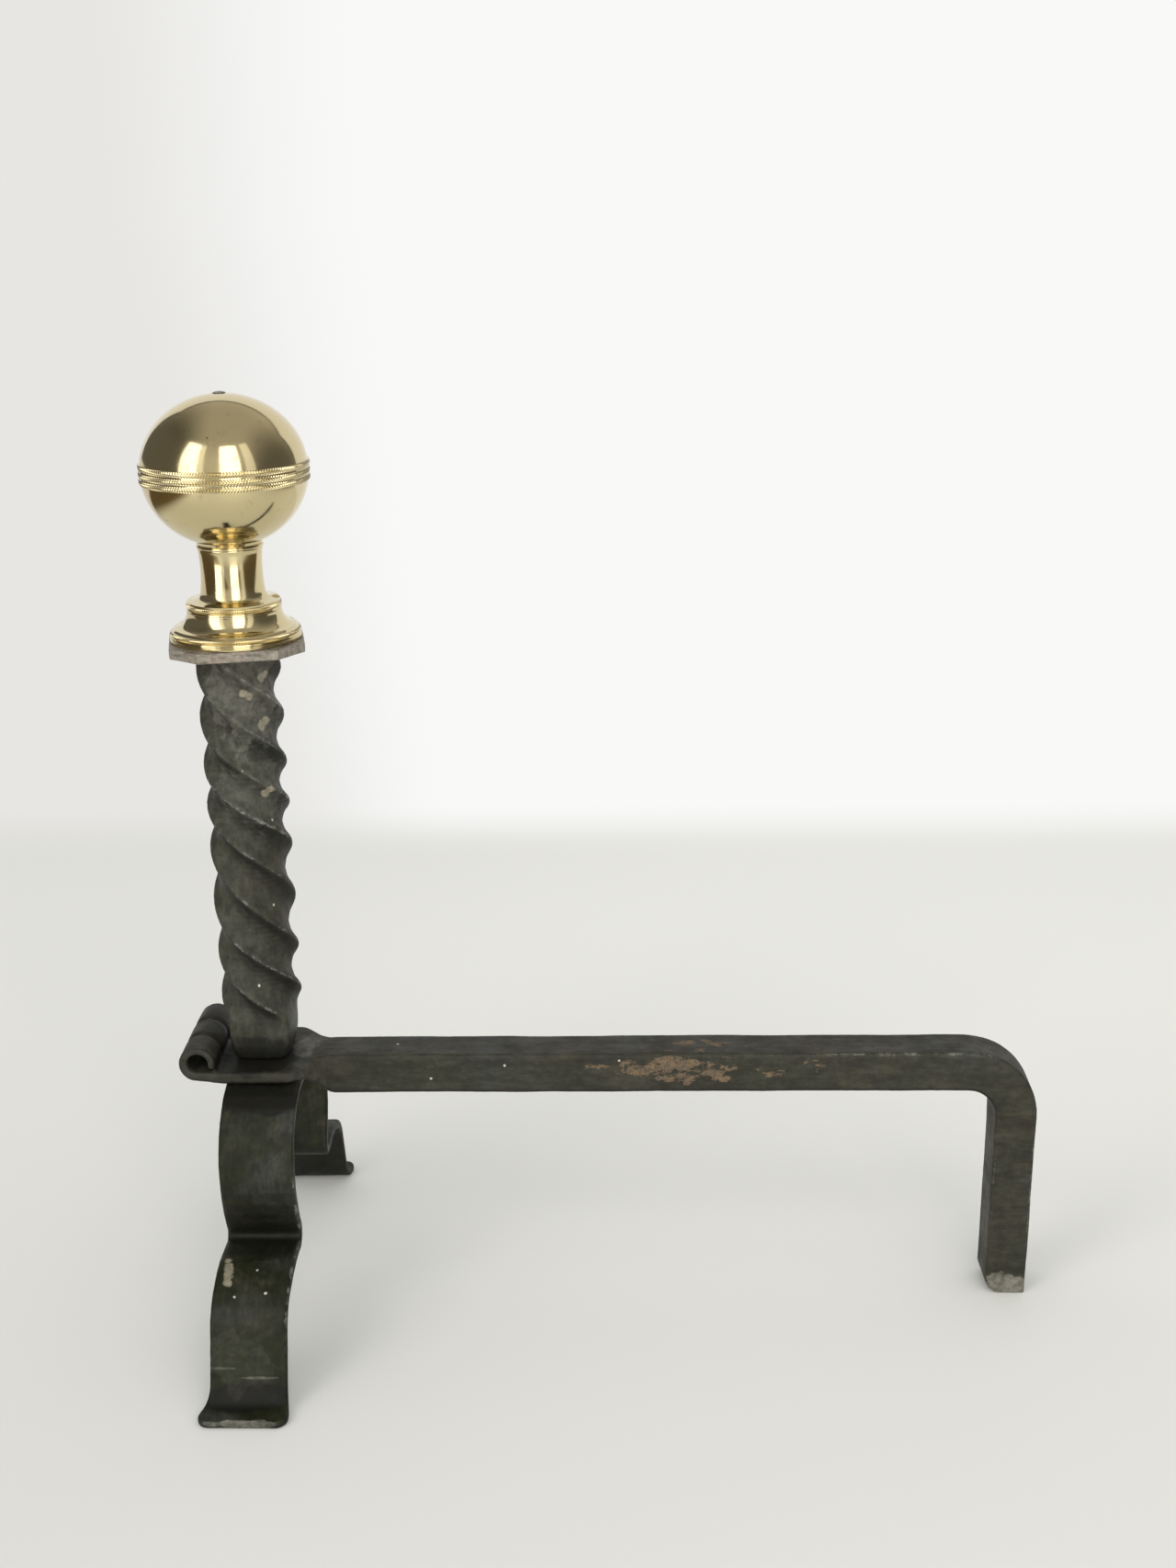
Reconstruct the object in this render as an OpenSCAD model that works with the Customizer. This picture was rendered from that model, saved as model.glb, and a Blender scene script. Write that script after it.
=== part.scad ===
// Andiron of forged iron with a ball finial of cast and turned brass.
// It is drawn about the post's centre line, which stands at x = 0 and y = 0, with the
// hearth at z = 0 and the bar running back along +X. place() then moves the whole along
// X, so that the origin lies on the hearth under the middle of the andiron's length.

/* [Billet bar] */
// Height of the bar's top above the hearth
bar_top = 128; // [120:1:140]
// Width of the bar, from side to side
bar_w = 21.2; // [16:0.2:24]
// Depth of the bar, and thickness of its rear leg
bar_h = 19.4; // [15:0.2:23]
// Rounding of the bar's long edges
bar_edge_r = 1.3; // [1:0.1:3]
// Distance from the post's centre line to the back of the rear leg
rear_reach = 360; // [260:1:460]
// Outside radius of the bend above the rear leg
bend_r = 33; // [28:0.5:45]
// Length worn off the inner corner of the rear foot
foot_wear = 5.5; // [0:0.5:9]

/* [Pad and scroll] */
// Width of the flattened pad that carries the post
pad_w = 50; // [42:1:60]
// Thickness of the pad
pad_t = 6; // [5:0.5:8]
// Step from the bar's top down to the pad's top
pad_drop = 1.5; // [0.5:0.5:4]
// Rounding of the pad's edges
pad_edge_r = 1.6; // [0.5:0.1:2.2]
// Distance from the post's centre line back to where the pad starts to narrow
narrow_from = 13; // [-4:1:16]
// Distance from the post's centre line back to where the bar starts to deepen
deepen_from = 18; // [16:1:26]
// Distance from the post's centre line back to where the bar has its full section
bar_start = 32; // [30:1:48]
// Distance from the post's centre line forward to the centre of the scroll
scroll_out = 27.2; // [26:0.2:40]
// Outside radius of the scroll
scroll_r = 8.4; // [6:0.1:9]
// Height that the pad's front rises to the scroll
scroll_lift = 1.6; // [1:0.1:5]
// Thickness of the scroll where it leaves the pad
scroll_root_t = 4.6; // [3:0.1:5.5]
// Thickness of the scroll's wall at its lip
scroll_wall = 3.4; // [2:0.1:4]
// Length of the scroll, from side to side
scroll_w = 50; // [44:1:62]
// Angle through which the scroll is rolled
scroll_turn = 288; // [260:1:295]
// Depth of the two hammered grooves round the scroll
groove_depth = 1; // [0.2:0.1:1.5]
// Half width of each groove
groove_half = 2.4; // [1:0.1:4]
// Angle round the scroll from which the grooves deepen
groove_from = 40; // [0:5:120]
// Angle over which they deepen
groove_ramp = 60; // [20:5:120]

/* [Front legs] */
// Width of the leg strip
strip_w = 34; // [28:0.2:42]
// Distance from the post's centre line back to the middle of the leg strip
strip_back = 2; // [0:0.5:3]
// Thickness of the leg strip
strip_t = 5; // [4:0.25:6.5]
// Rounding of the strip's long edges
strip_edge_r = 1.4; // [0.6:0.1:1.8]
// Thickness of the strip at the toes
toe_t = 4; // [3:0.25:4]
// Distance from the middle of the andiron to the tip of each toe
toe_out = 111.5; // [100:0.5:130]
// Length of the flat sole under each toe
sole_len = 7.5; // [5:0.5:10]
// How far the toe is spread beyond the strip's front side
toe_flare_front = 3.8; // [0:0.2:6]
// How far the toe is spread beyond the strip's back side
toe_flare_back = 1.8; // [0:0.2:6]
// Rounding of the toe's two corners, seen from above
toe_round = 5; // [3:0.5:6]
// Half length of the flat crown under the pad
crown_half = 17.5; // [14:0.5:20]
// Distance from the middle to the outside of the leg's shoulder
shoulder_out = 51; // [47:0.5:56]
// Height of the widest place of the leg's shoulder
shoulder_z = 86; // [80:1:92]
// Distance from the middle to the outside of the leg's fold
fold_out = 42; // [38:0.5:44]
// Height of the middle of the leg's fold
fold_z = 54; // [50:0.5:58]
// Radius of the strip's centre line in the fold
fold_r = 5; // [4:0.25:6]
// Distance from the tip of the toe in to the leg's knee
knee_in = 25.5; // [22:0.5:30]
// Height of the strip's centre line at the knee
knee_z = 36.5; // [32:0.5:40]
// Distance from the tip of the toe in to the leg's ankle
ankle_in = 17.5; // [15:0.5:20]
// Height of the strip's centre line at the ankle
ankle_z = 13; // [10:0.5:16]

/* [Twisted post] */
// Width of the square bar that the post is twisted from
post_w = 28.2; // [24:0.2:34]
// Rounding of the post's four corners
post_corner_r = 3.3; // [2:0.1:5]
// Swell of the post's four sides beyond flat
side_swell = 0.4; // [0.2:0.1:1.5]
// Height of the post from the pad to the cap plate
post_len = 193.5; // [140:0.5:260]
// Height over which the post makes one full turn
twist_lead = 88; // [60:1:140]
// The hand-made twist falls behind an even one, by this much height where it is worst
twist_lag = 5.5; // [0:0.5:10]
// Height above the pad of that place
lag_at = 102; // [60:1:140]
// Height over which it falls behind, and again catches up
lag_reach = 48; // [30:1:60]
// Height of the plain foot below the twist
plain_len = 22; // [14:1:34]
// Height over which the twist sets in above it
twist_ramp = 8; // [4:1:12]
// Width of the post's foot where it meets the pad
post_foot_w = 20.5; // [18:0.5:23]
// Height over which the foot is rounded in
foot_round = 13; // [8:0.5:14]
// Diameter of the tenon that holds the post to the pad and the legs
tenon_d = 14; // [10:0.5:16]
// Diameter of the riveted head under the legs
head_d = 22; // [18:0.5:26]
// Height of the riveted head
head_h = 4; // [2:0.5:6]

/* [Cap plate] */
// Width of the cap plate across its long edges
plate_w = 57.4; // [54:0.2:66]
// Length cut off each corner of the cap plate, along the edge
plate_cut = 12; // [8:0.5:16]
// Thickness of the cap plate
plate_t = 4.5; // [3:0.5:8]
// Turn of the cap plate from square
plate_turn = 12; // [0:1:20]

/* [Brass base] */
// Radius of the base's lowest rim
foot_r = 28.2; // [26:0.1:28.6]
// Height of the base from the cap plate to the top of its disc
disc_top = 17.3; // [15:0.1:22]
// Radius of the milled disc on top of the bell
disc_r = 20.4; // [19:0.1:22]
// Height from the disc to the top of the neck
neck_len = 24; // [18:0.5:32]
// Radius of the neck at its waist
neck_r = 13.2; // [12:0.1:14]
// Radius of the ring at the top of the neck
ledge_r = 14.3; // [14.2:0.1:16]
// Thickness of the base's cast wall
base_wall = 2.6; // [2:0.1:3]
// Radius of the milled bead above the rim
rim_bead_r = 0.95; // [0.6:0.05:1.2]
// Radius of the milled bead round the disc
disc_bead_r = 1; // [0.6:0.05:1.2]

/* [Ball] */
// Diameter of the ball, without its milled band
ball_d = 70.6; // [64:0.2:80]
// Height of the ball
ball_h = 64.6; // [58:0.2:72]
// Height of each of the three milled rows round the ball
row_h = 2.7; // [2:0.1:3.4]
// Height of the V groove between two rows
row_gap = 0.6; // [0.3:0.1:1]
// How far the milled rows stand out from the ball
row_proud = 0.5; // [0.2:0.1:1.2]
// Thickness of the ball's wall
ball_wall = 2.4; // [2:0.1:3.5]
// Length of the lap joint between the two halves
lap_len = 3; // [2:0.5:5]
// Height of the collar between the ledge and the ball
collar_h = 1.6; // [1:0.1:3]
// Length of the spigot that centres the ball in the neck
spigot_len = 5; // [3:0.5:8]
// Outside radius of that spigot
spigot_r = 9.6; // [8:0.1:9.8]

/* [Tie rod] */
// Diameter of the iron rod that holds the finial
rod_d = 8; // [6:0.5:9]
// Depth to which the rod is screwed into the post
rod_depth = 22; // [15:1:35]
// Diameter of the rod's end in the crown of the ball
rod_tip_d = 4; // [3:0.2:5]
// Diameter of the riveted end of the rod
rivet_d = 5.6; // [5.4:0.2:7]
// Height of the riveted end above the crown of the ball
rivet_h = 0.7; // [0.4:0.1:1.2]

/* [Fits] */
// Radial clearance of the rod, the tenon and the spigot in their holes
hole_gap = 0.25; // [0.1:0.05:0.4]
// Radial clearance of the lap joint of the ball
lap_gap = 0.05; // [0.02:0.01:0.1]

/* [Hidden] */

// Facets of everything turned, of the small arcs of outlines, of the scroll and of the pad
turned_fn = 96;
corner_steps = 3;
scroll_steps = 26;
pad_steps = 26;
// Height between two rings of the twist
twist_step = 2.6;
// How far two pieces that are fused or cut run past each other
overrun = 1;

// Colours of the blackened iron, of the bare plate and of the brass
iron = "#34352e";
bare_iron = "#6f6a66";
brass = "#cfbf86";

// Heights of the faces on which the pieces seat
pad_top = bar_top - pad_drop;
pad_bottom = pad_top - pad_t;
bar_bottom = bar_top - bar_h;
crown_bottom = pad_bottom - strip_t;
plate_z = pad_top + post_len;
base_z = plate_z + plate_t;
disc_z = base_z + disc_top;
ledge_z = disc_z + neck_len;
ball_a = ball_d / 2;
ball_b = ball_h / 2;
// The crown of the ball is filed flat under the rivet
crown_flat_r = rivet_d / 2 + 0.4;
// The ball's underside meets the top of the collar, which is a little wider than the ledge
collar_r = ledge_r + 0.5;
ball_z = ledge_z + collar_h + ball_b * sqrt(1 - pow(collar_r / ball_a, 2));
crown_z = ball_z + ball_b * sqrt(1 - pow(crown_flat_r / ball_a, 2));

// Centre of the scroll, and the place of the origin between its front and the rear leg
scroll_z = pad_bottom + scroll_lift + scroll_r;
scroll_front = scroll_out + scroll_r;
origin_x = (rear_reach - scroll_front) / 2;

// Radius of the hole in the plate, the base and the ball for the rod
rod_hole_r = rod_d / 2 + hole_gap;

// ---- Outlines and sweeps ----

// Points of an arc, both ends included
function arc(x, y, r, from, to, steps) = [
    for (i = [0:steps])
        let (a = from + (to - from) * i / steps)
        [x + r * cos(a), y + r * sin(a)]
];

// Points of a cubic curve after its first point
function curve(p, q, r, s, steps) = [
    for (i = [1:steps])
        let (t = i / steps, u = 1 - t)
        u * u * u * p + 3 * u * u * t * q + 3 * u * t * t * r + t * t * t * s
];

// Rises smoothly from 0 to 1 as x goes from a to b
function ease(x, a, b) =
    let (t = max(0, min(1, (x - a) / (b - a))))
    t * t * (3 - 2 * t);

function mix(a, b, t) = a + (b - a) * t;

function unit(v) = v / norm(v);

// Section of a forged bar, w wide and t thick, with rounded corners
function bar_section(w, t, r) = [
    for (k = [0:3])
        let (sx = (k == 0 || k == 3) ? 1 : -1, sy = k < 2 ? 1 : -1)
        each arc(sx * (w / 2 - r), sy * (t / 2 - r), r, 90 * k, 90 * k + 90, corner_steps)
];

// Skin over a row of rings that all have the same number of points
module sweep(rings) {
    n = len(rings[0]);
    last = len(rings) - 1;
    points = [for (ring = rings) each ring];
    walls = [
        for (i = [0:last - 1], j = [0:n - 1])
            let (a = i * n + j, b = i * n + (j + 1) % n)
            each [[a, b, b + n], [a, b + n, a + n]]
    ];
    first_cap = [for (j = [n - 1:-1:0]) j];
    last_cap = [for (j = [0:n - 1]) last * n + j];
    polyhedron(points = points, faces = concat(walls, [first_cap, last_cap]), convexity = 8);
}

// Puts what is drawn about the post's centre line where it stands in the andiron
module place() {
    translate([-origin_x, 0, 0])
        children();
}

// ---- Billet bar: scroll, pad, bar and rear leg, forged from one bar ----

// Thickness of the scroll's wall, turned by a from the scroll's underside
function scroll_thickness(a) = mix(scroll_root_t, scroll_wall, ease(a, 0, scroll_turn));

// Section with the two grooves pressed into its outer face
function grooved_section(w, t, r, depth) =
    let (g = w / 6, plain = bar_section(w, t, r), split = corner_steps)
    concat(
        [for (i = [0:split]) plain[i]],
        [
            for (side = [1, -1], step = [1, 0, -1])
                [side * g + step * groove_half, t / 2 - (step == 0 ? depth : 0)]
        ],
        [for (i = [split + 1:len(plain) - 1]) plain[i]]
    );

// A section stood across the path at [x, z], its outer face towards out
function cross_ring(at, out, section) = [
    for (p = section) [at[0] + p[1] * out[0], p[0], at[1] + p[1] * out[1]]
];

// Rings round the scroll, from its lip to the pad's front
function scroll_rings(steps) = [
    for (i = [steps:-1:1])
        let (
            a = scroll_turn * i / steps,
            t = scroll_thickness(a),
            out = [-sin(a), -cos(a)],
            at = [-scroll_out, scroll_z] + (scroll_r - t / 2) * out,
            groove = groove_depth * ease(a, groove_from, groove_from + groove_ramp)
        )
        cross_ring(at, out, grooved_section(scroll_w, t, pad_edge_r * t / pad_t, groove))
];

// Rings along the pad, back to the full section of the bar
function pad_rings(steps) = [
    for (i = [0:steps])
        let (
            x = mix(-scroll_out, bar_start, i / steps),
            front = 1 - ease(x, -scroll_out, strip_back - strip_w / 2),
            narrow = ease(x, narrow_from, bar_start - 2),
            deepen = ease(x, deepen_from, bar_start),
            w = mix(mix(pad_w, scroll_w, front), bar_w, narrow),
            low = mix(mix(pad_bottom, scroll_z - scroll_r, front), bar_bottom, deepen),
            high = mix(mix(pad_top, scroll_z - scroll_r + scroll_root_t, front), bar_top, deepen),
            r = mix(mix(pad_edge_r, pad_edge_r * scroll_root_t / pad_t, front), bar_edge_r, deepen)
        )
        cross_ring([x, (low + high) / 2], [0, -1], grooved_section(w, high - low, r, 0))
];

module bar_and_leg() {
    bend_x = rear_reach - bend_r;
    bend_z = bar_top - bend_r;
    translate([bar_start, 0, bar_top - bar_h / 2])
        rotate([90, 0, 90])
            linear_extrude(bend_x - bar_start)
                polygon(bar_section(bar_w, bar_h, bar_edge_r));
    translate([bend_x, 0, bend_z])
        rotate([90, 0, 0])
            rotate_extrude(angle = 90, $fn = turned_fn)
                translate([bend_r - bar_h / 2, 0])
                    polygon(bar_section(bar_h, bar_w, bar_edge_r));
    difference() {
        translate([rear_reach - bar_h / 2, 0, 0])
            linear_extrude(bend_z)
                polygon(bar_section(bar_h, bar_w, bar_edge_r));
        worn_corner();
    }
}

// What wear has taken off the inner corner of the rear foot
module worn_corner() {
    translate([rear_reach - bar_h, bar_w, 0])
        rotate([90, 0, 0])
            linear_extrude(2 * bar_w)
                polygon([
                    [-overrun, -overrun], [foot_wear, -overrun], [foot_wear, 0],
                    [foot_wear * 0.35, foot_wear * 0.5],
                    [0, foot_wear * 1.2], [-overrun, foot_wear * 1.2]
                ]);
}

module billet_bar() {
    color(iron)
        place()
            difference() {
                union() {
                    sweep(concat(scroll_rings(scroll_steps), pad_rings(pad_steps)));
                    bar_and_leg();
                }
                translate([0, 0, pad_bottom - overrun])
                    cylinder(h = pad_t + 2 * overrun, r = tenon_d / 2 + hole_gap, $fn = turned_fn);
            }
}

// ---- Front legs: one strip, bent into an arch with a fold in each leg ----

// Centre line of one leg as [y, z], from the crown to the tip of its toe
function leg_line() =
    let (
        half = strip_t / 2,
        crown = [crown_half, pad_bottom - half],
        shoulder = [shoulder_out - half, shoulder_z],
        fold = [fold_out + half, fold_z],
        fold_start = fold + fold_r * [cos(150), sin(150)],
        knee = [toe_out - knee_in, knee_z],
        ankle = [toe_out - ankle_in, ankle_z],
        heel = [toe_out - sole_len, toe_t / 2],
        round = 0.5523,
        shin = unit(knee - ankle)
    )
    concat(
        [[crown_half / 2, crown[1]], crown],
        curve(
            crown,
            [mix(crown[0], shoulder[0], round), crown[1]],
            [shoulder[0], mix(shoulder[1], crown[1], round)],
            shoulder, 8
        ),
        curve(shoulder, shoulder - [0, 10], fold_start + 10 * [cos(60), sin(60)], fold_start, 5),
        [for (a = [170:20:270]) fold + fold_r * [cos(a), sin(a)]],
        curve(
            fold - [0, fold_r],
            fold - [0, fold_r] + [14, 1.5],
            knee + 14 * shin - [4, 0],
            knee, 8
        ),
        curve(knee, mix(knee, ankle, 1 / 3), mix(knee, ankle, 2 / 3), ankle, 3),
        curve(ankle, ankle - 6 * shin, heel - [5, 0], heel, 6),
        [for (in = [0, 0.4, 0.7, 0.9, 1]) [toe_out - toe_round * (1 - in), toe_t / 2]]
    );

// How far the toe's rounded corners draw in each side of the strip at y
function toe_corner(y) =
    let (in = max(0, y - toe_out + toe_round))
    toe_round - sqrt(max(0, toe_round * toe_round - in * in));

// Rings along one leg, on the side where y has that sign, from the crown outwards
function leg_rings(side) =
    let (line = leg_line(), last = len(line) - 1)
    [
        for (i = [0:last])
            let (
                along = unit(line[min(last, i + 1)] - line[max(0, i - 1)]),
                out = [-along[1], along[0]],
                y = line[i][0],
                ankle_y = toe_out - ankle_in,
                knee_y = toe_out - knee_in,
                t = mix(strip_t, toe_t, ease(y, knee_y, ankle_y)),
                spread = ease(y, ankle_y, toe_out - toe_round),
                front = strip_w / 2 + toe_flare_front * spread - toe_corner(y),
                back = strip_w / 2 + toe_flare_back * spread - toe_corner(y),
                middle = strip_back + (back - front) / 2,
                at = line[i]
            )
            [
                for (p = bar_section(front + back, t, strip_edge_r))
                    [middle + p[0], side * (at[0] + p[1] * out[0]), at[1] + p[1] * out[1]]
            ]
    ];

function reversed(list) = [for (i = [len(list) - 1:-1:0]) list[i]];

module front_legs() {
    color(iron)
        place()
            difference() {
                sweep(concat(reversed(leg_rings(-1)), leg_rings(1)));
                translate([0, 0, crown_bottom - overrun])
                    cylinder(h = strip_t + 2 * overrun, r = tenon_d / 2 + hole_gap, $fn = turned_fn);
            }
}

// ---- Twisted post, with its tenon ----

// Section of the post: a square bar, with two more points along each of its swollen sides
function post_section(w, r) =
    let (outline = bar_section(w, w, r), n = len(outline), per_corner = corner_steps + 1)
    [
        for (i = [0:n - 1])
            let (p = outline[i], q = outline[(i + 1) % n], swell = side_swell * unit(p + q))
            each i % per_corner == corner_steps
                ? [p, mix(p, q, 1 / 3) + swell, mix(p, q, 2 / 3) + swell]
                : [p]
    ];

// Height by which the twist is behind an even one at a height above the pad
function twist_behind(h) =
    twist_lag * (1 + cos(180 * min(1, abs(h - lag_at) / lag_reach))) / 2;

// Turn of the post's section at that height, growing smoothly from the plain foot
function post_turn(h) =
    let (half = twist_ramp / 2, up = max(0, h - twist_behind(h) - plain_len + half))
    360 / twist_lead * (up < twist_ramp ? up * up / (2 * twist_ramp) : up - half);

// Width of the post's section at that height: its foot is drawn in and rounded
function post_width(h) =
    h > foot_round ? post_w : mix(post_foot_w, post_w, sqrt(1 - pow(1 - h / foot_round, 2)));

function post_ring(h) =
    let (w = post_width(h), a = -post_turn(h), section = post_section(w, post_corner_r * w / post_w))
    [for (p = section) [p[1] * cos(a) - p[0] * sin(a), p[1] * sin(a) + p[0] * cos(a), pad_top + h]];

module twisted_post() {
    foot_steps = [for (part = [0, 0.05, 0.16, 0.33, 0.6]) foot_round * part];
    twist_steps = round((post_len - foot_round) / twist_step);
    heights = concat(foot_steps, [for (i = [0:twist_steps]) mix(foot_round, post_len, i / twist_steps)]);
    color(iron)
        place()
            difference() {
                union() {
                    sweep([for (h = heights) post_ring(h)]);
                    translate([0, 0, crown_bottom])
                        cylinder(h = pad_top - crown_bottom + 0.5, d = tenon_d, $fn = turned_fn);
                    rivet_head();
                }
                translate([0, 0, plate_z - rod_depth])
                    cylinder(h = rod_depth + overrun, r = rod_hole_r, $fn = turned_fn);
            }
}

// Domed head, hammered over under the crown of the legs
module rivet_head() {
    r = head_d / 2;
    edge = head_h / 3;
    dome_r = (r * r + pow(head_h - edge, 2)) / (2 * (head_h - edge));
    half_angle = asin(r / dome_r);
    translate([0, 0, crown_bottom])
        rotate_extrude($fn = turned_fn)
            polygon(concat(
                [[0, 0], [r, 0]],
                arc(0, dome_r - head_h, dome_r, -90 + half_angle, -90, 6)
            ));
}

// ---- Cap plate: a square of bar iron with its corners cut off ----

module cap_plate() {
    half = plate_w / 2;
    long = half - plate_cut;
    color(bare_iron)
        place()
            translate([0, 0, plate_z])
                rotate([0, 0, plate_turn])
                    difference() {
                        linear_extrude(plate_t)
                            polygon([
                                for (k = [0:3], end = [-1, 1])
                                    let (c = cos(90 * k), s = sin(90 * k))
                                    [half * c - end * long * s, half * s + end * long * c]
                            ]);
                        translate([0, 0, -overrun])
                            cylinder(h = plate_t + 2 * overrun, r = rod_hole_r, $fn = turned_fn);
                    }
}

// ---- Brass base: rim, bell, milled disc and neck, cast hollow in one piece ----

// Outside of the base as [r, z] above the plate, from the rim to the top of the neck.
// The rim is a plain fillet, a fine cove and a second fillet, under a milled bead.
function base_outside() =
    let (
        fillet = 1,
        cove_r = 0.5,
        step = 0.2,
        rim_top = 2 * fillet + 2 * cove_r - step,
        bead_out = foot_r - 2 * step - rim_bead_r,
        bell_low = [foot_r - 1.6, rim_top + 2 * rim_bead_r],
        bell_bend = bell_low + [-0.9, 1.1],
        disc_h = 2 * disc_bead_r + 2.3,
        bell_top = [disc_r - 0.1, disc_top - disc_h],
        disc_edge = [disc_r - 0.6, disc_top - 0.2],
        neck_low = [neck_r + 0.6, disc_top + 4],
        neck_top = [neck_r + 0.5, disc_top + neck_len - 2.4],
        ledge_round = 0.7
    )
    concat(
        [[foot_r, 0], [foot_r, fillet]],
        arc(foot_r, fillet + cove_r, cove_r, 270, 90, 4),
        [[foot_r - step, fillet + 2 * cove_r], [foot_r - step, rim_top]],
        arc(bead_out, rim_top + rim_bead_r, rim_bead_r, -60, 90, 5),
        curve(bell_low, bell_low + [0, 0.6], bell_bend + [0.5, -0.3], bell_bend, 3),
        curve(
            bell_bend, [mix(bell_bend[0], bell_top[0], 0.5), bell_bend[1]],
            bell_top - [0, 3.5], bell_top, 8
        ),
        [[disc_r, bell_top[1]], [disc_r, bell_top[1] + 1.1]],
        arc(disc_r - disc_bead_r, disc_top - disc_bead_r - 1, disc_bead_r, -60, 75, 5),
        [disc_edge],
        curve(
            disc_edge, [neck_r + 2, disc_top + 0.2],
            [neck_r + 0.9, disc_top + 1], neck_low, 5
        ),
        curve(
            neck_low, [neck_r - 0.3, mix(disc_top, ledge_top(), 0.45)],
            [neck_r, mix(disc_top, ledge_top(), 0.7)], neck_top, 6
        ),
        [neck_top + [0.3, 0.8]],
        arc(ledge_r - ledge_round, ledge_top() - ledge_round, ledge_round, -60, 90, 4)
    );

// Height of the ledge above the plate
function ledge_top() = disc_top + neck_len;

module finial_base() {
    top = ledge_top();
    bore = neck_r - base_wall;
    web = top - spigot_len - base_wall;
    inner_foot = foot_r - base_wall - 1;
    color(brass)
        place()
            translate([0, 0, base_z])
                difference() {
                    rotate_extrude($fn = turned_fn)
                        polygon(concat([[0, 0]], base_outside(), [[0, top]]));
                    rotate_extrude($fn = turned_fn)
                        polygon(concat(
                            [[0, -1], [inner_foot, -1], [inner_foot, 3]],
                            curve(
                                [inner_foot, 3], [inner_foot - 5, 4],
                                [bore + 2, disc_top - 8], [bore, disc_top - 2], 5
                            ),
                            [[bore, web], [0, web]]
                        ));
                    translate([0, 0, web - overrun])
                        cylinder(h = top - web + 2 * overrun, r = rod_hole_r, $fn = turned_fn);
                    translate([0, 0, top - spigot_len - hole_gap])
                        cylinder(
                            h = spigot_len + hole_gap + overrun,
                            r = spigot_r + hole_gap, $fn = turned_fn
                        );
                }
}

// ---- Ball: two cast halves that lap inside the milled band ----

// Heights of the band, from the ball's centre, and of the seam in its upper groove
band_half = 1.5 * row_h + row_gap;
seam = band_half - row_h - row_gap / 2;

// Radius of the ball's skin at a height from its centre, for the outside or a wall further in
function ball_radius(z, wall) =
    (ball_a - wall) * sqrt(max(0, 1 - pow(z / (ball_b - wall), 2)));

// Height of the ball's skin at a radius
function ball_height(r, wall) =
    (ball_b - wall) * sqrt(max(0, 1 - pow(r / (ball_a - wall), 2)));

// Outline of the skin between two heights
function ball_skin(from, to, wall, steps) = [
    for (i = [0:steps])
        let (
            a = asin(max(-1, min(1, from / (ball_b - wall)))),
            b = asin(max(-1, min(1, to / (ball_b - wall)))),
            t = mix(a, b, i / steps)
        )
        [(ball_a - wall) * cos(t), (ball_b - wall) * sin(t)]
];

// Radius at the bottom of the V grooves between the milled rows
groove_r = ball_a + row_proud - 0.9;

// Outline of one milled row, from its lower edge to its upper edge
function row_outline(low) =
    let (mid = low + row_h / 2, r = ball_a + row_proud, sag = 0.45)
    [
        for (i = [-3:3])
            let (t = i / 3)
            [r - sag * t * t, mid + t * row_h / 2]
    ];

module ball_lower() {
    floor_z = -ball_height(collar_r, 0);
    inner_low = -ball_b + ball_wall;
    lap_r = ball_radius(seam, ball_wall / 2);
    ledge = ledge_z - ball_z;
    color(brass)
        place()
            translate([0, 0, ball_z])
                difference() {
                    rotate_extrude($fn = turned_fn)
                        polygon(concat(
                            [
                                [0, ledge - spigot_len], [spigot_r, ledge - spigot_len],
                                [spigot_r, ledge], [ledge_r - 0.5, ledge], [collar_r, floor_z]
                            ],
                            ball_skin(floor_z, -band_half, 0, 14),
                            row_outline(-band_half),
                            [[groove_r, -band_half + row_h + row_gap / 2]],
                            row_outline(-row_h / 2),
                            [[groove_r, seam], [0, seam]]
                        ));
                    rotate_extrude($fn = turned_fn)
                        polygon(concat(
                            [[0, inner_low]],
                            ball_skin(inner_low, seam - lap_len, ball_wall, 12),
                            [
                                [lap_r, seam - lap_len],
                                [lap_r, seam + overrun], [0, seam + overrun]
                            ]
                        ));
                    translate([0, 0, ledge - spigot_len - overrun])
                        cylinder(h = ball_b, r = rod_hole_r, $fn = turned_fn);
                }
}

module ball_upper() {
    lap_r = ball_radius(seam, ball_wall / 2) - lap_gap;
    skirt = seam - lap_len;
    crown = crown_z - ball_z;
    color(brass)
        place()
            translate([0, 0, ball_z])
                difference() {
                    rotate_extrude($fn = turned_fn)
                        polygon(concat(
                            [[0, skirt], [lap_r, skirt], [lap_r, seam], [groove_r, seam]],
                            row_outline(band_half - row_h),
                            ball_skin(band_half, crown, 0, 16),
                            [[0, crown]]
                        ));
                    rotate_extrude($fn = turned_fn)
                        polygon(concat(
                            [
                                [0, skirt - overrun],
                                [ball_radius(skirt, ball_wall), skirt - overrun]
                            ],
                            ball_skin(skirt, ball_b - ball_wall, ball_wall, 14)
                        ));
                    cylinder(h = ball_h, r = rod_tip_d / 2 + hole_gap, $fn = turned_fn);
                }
}

// ---- Tie rod: screwed into the post, riveted over the crown of the ball ----

module tie_rod() {
    bottom = plate_z - rod_depth;
    neck_z = crown_z - ball_wall - 1;
    rod_r = rod_d / 2;
    tip_r = rod_tip_d / 2;
    color(iron)
        place()
            rotate_extrude($fn = turned_fn)
                polygon([
                    [0, bottom], [rod_r - 1, bottom], [rod_r, bottom + 1],
                    [rod_r, neck_z - 2], [tip_r, neck_z],
                    [tip_r, crown_z], [rivet_d / 2, crown_z],
                    [rivet_d / 2 - 0.2, crown_z + rivet_h / 2], [rivet_d / 4, crown_z + rivet_h],
                    [0, crown_z + rivet_h]
                ]);
}

billet_bar();
front_legs();
twisted_post();
cap_plate();
finial_base();
ball_lower();
ball_upper();
tie_rod();
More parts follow.
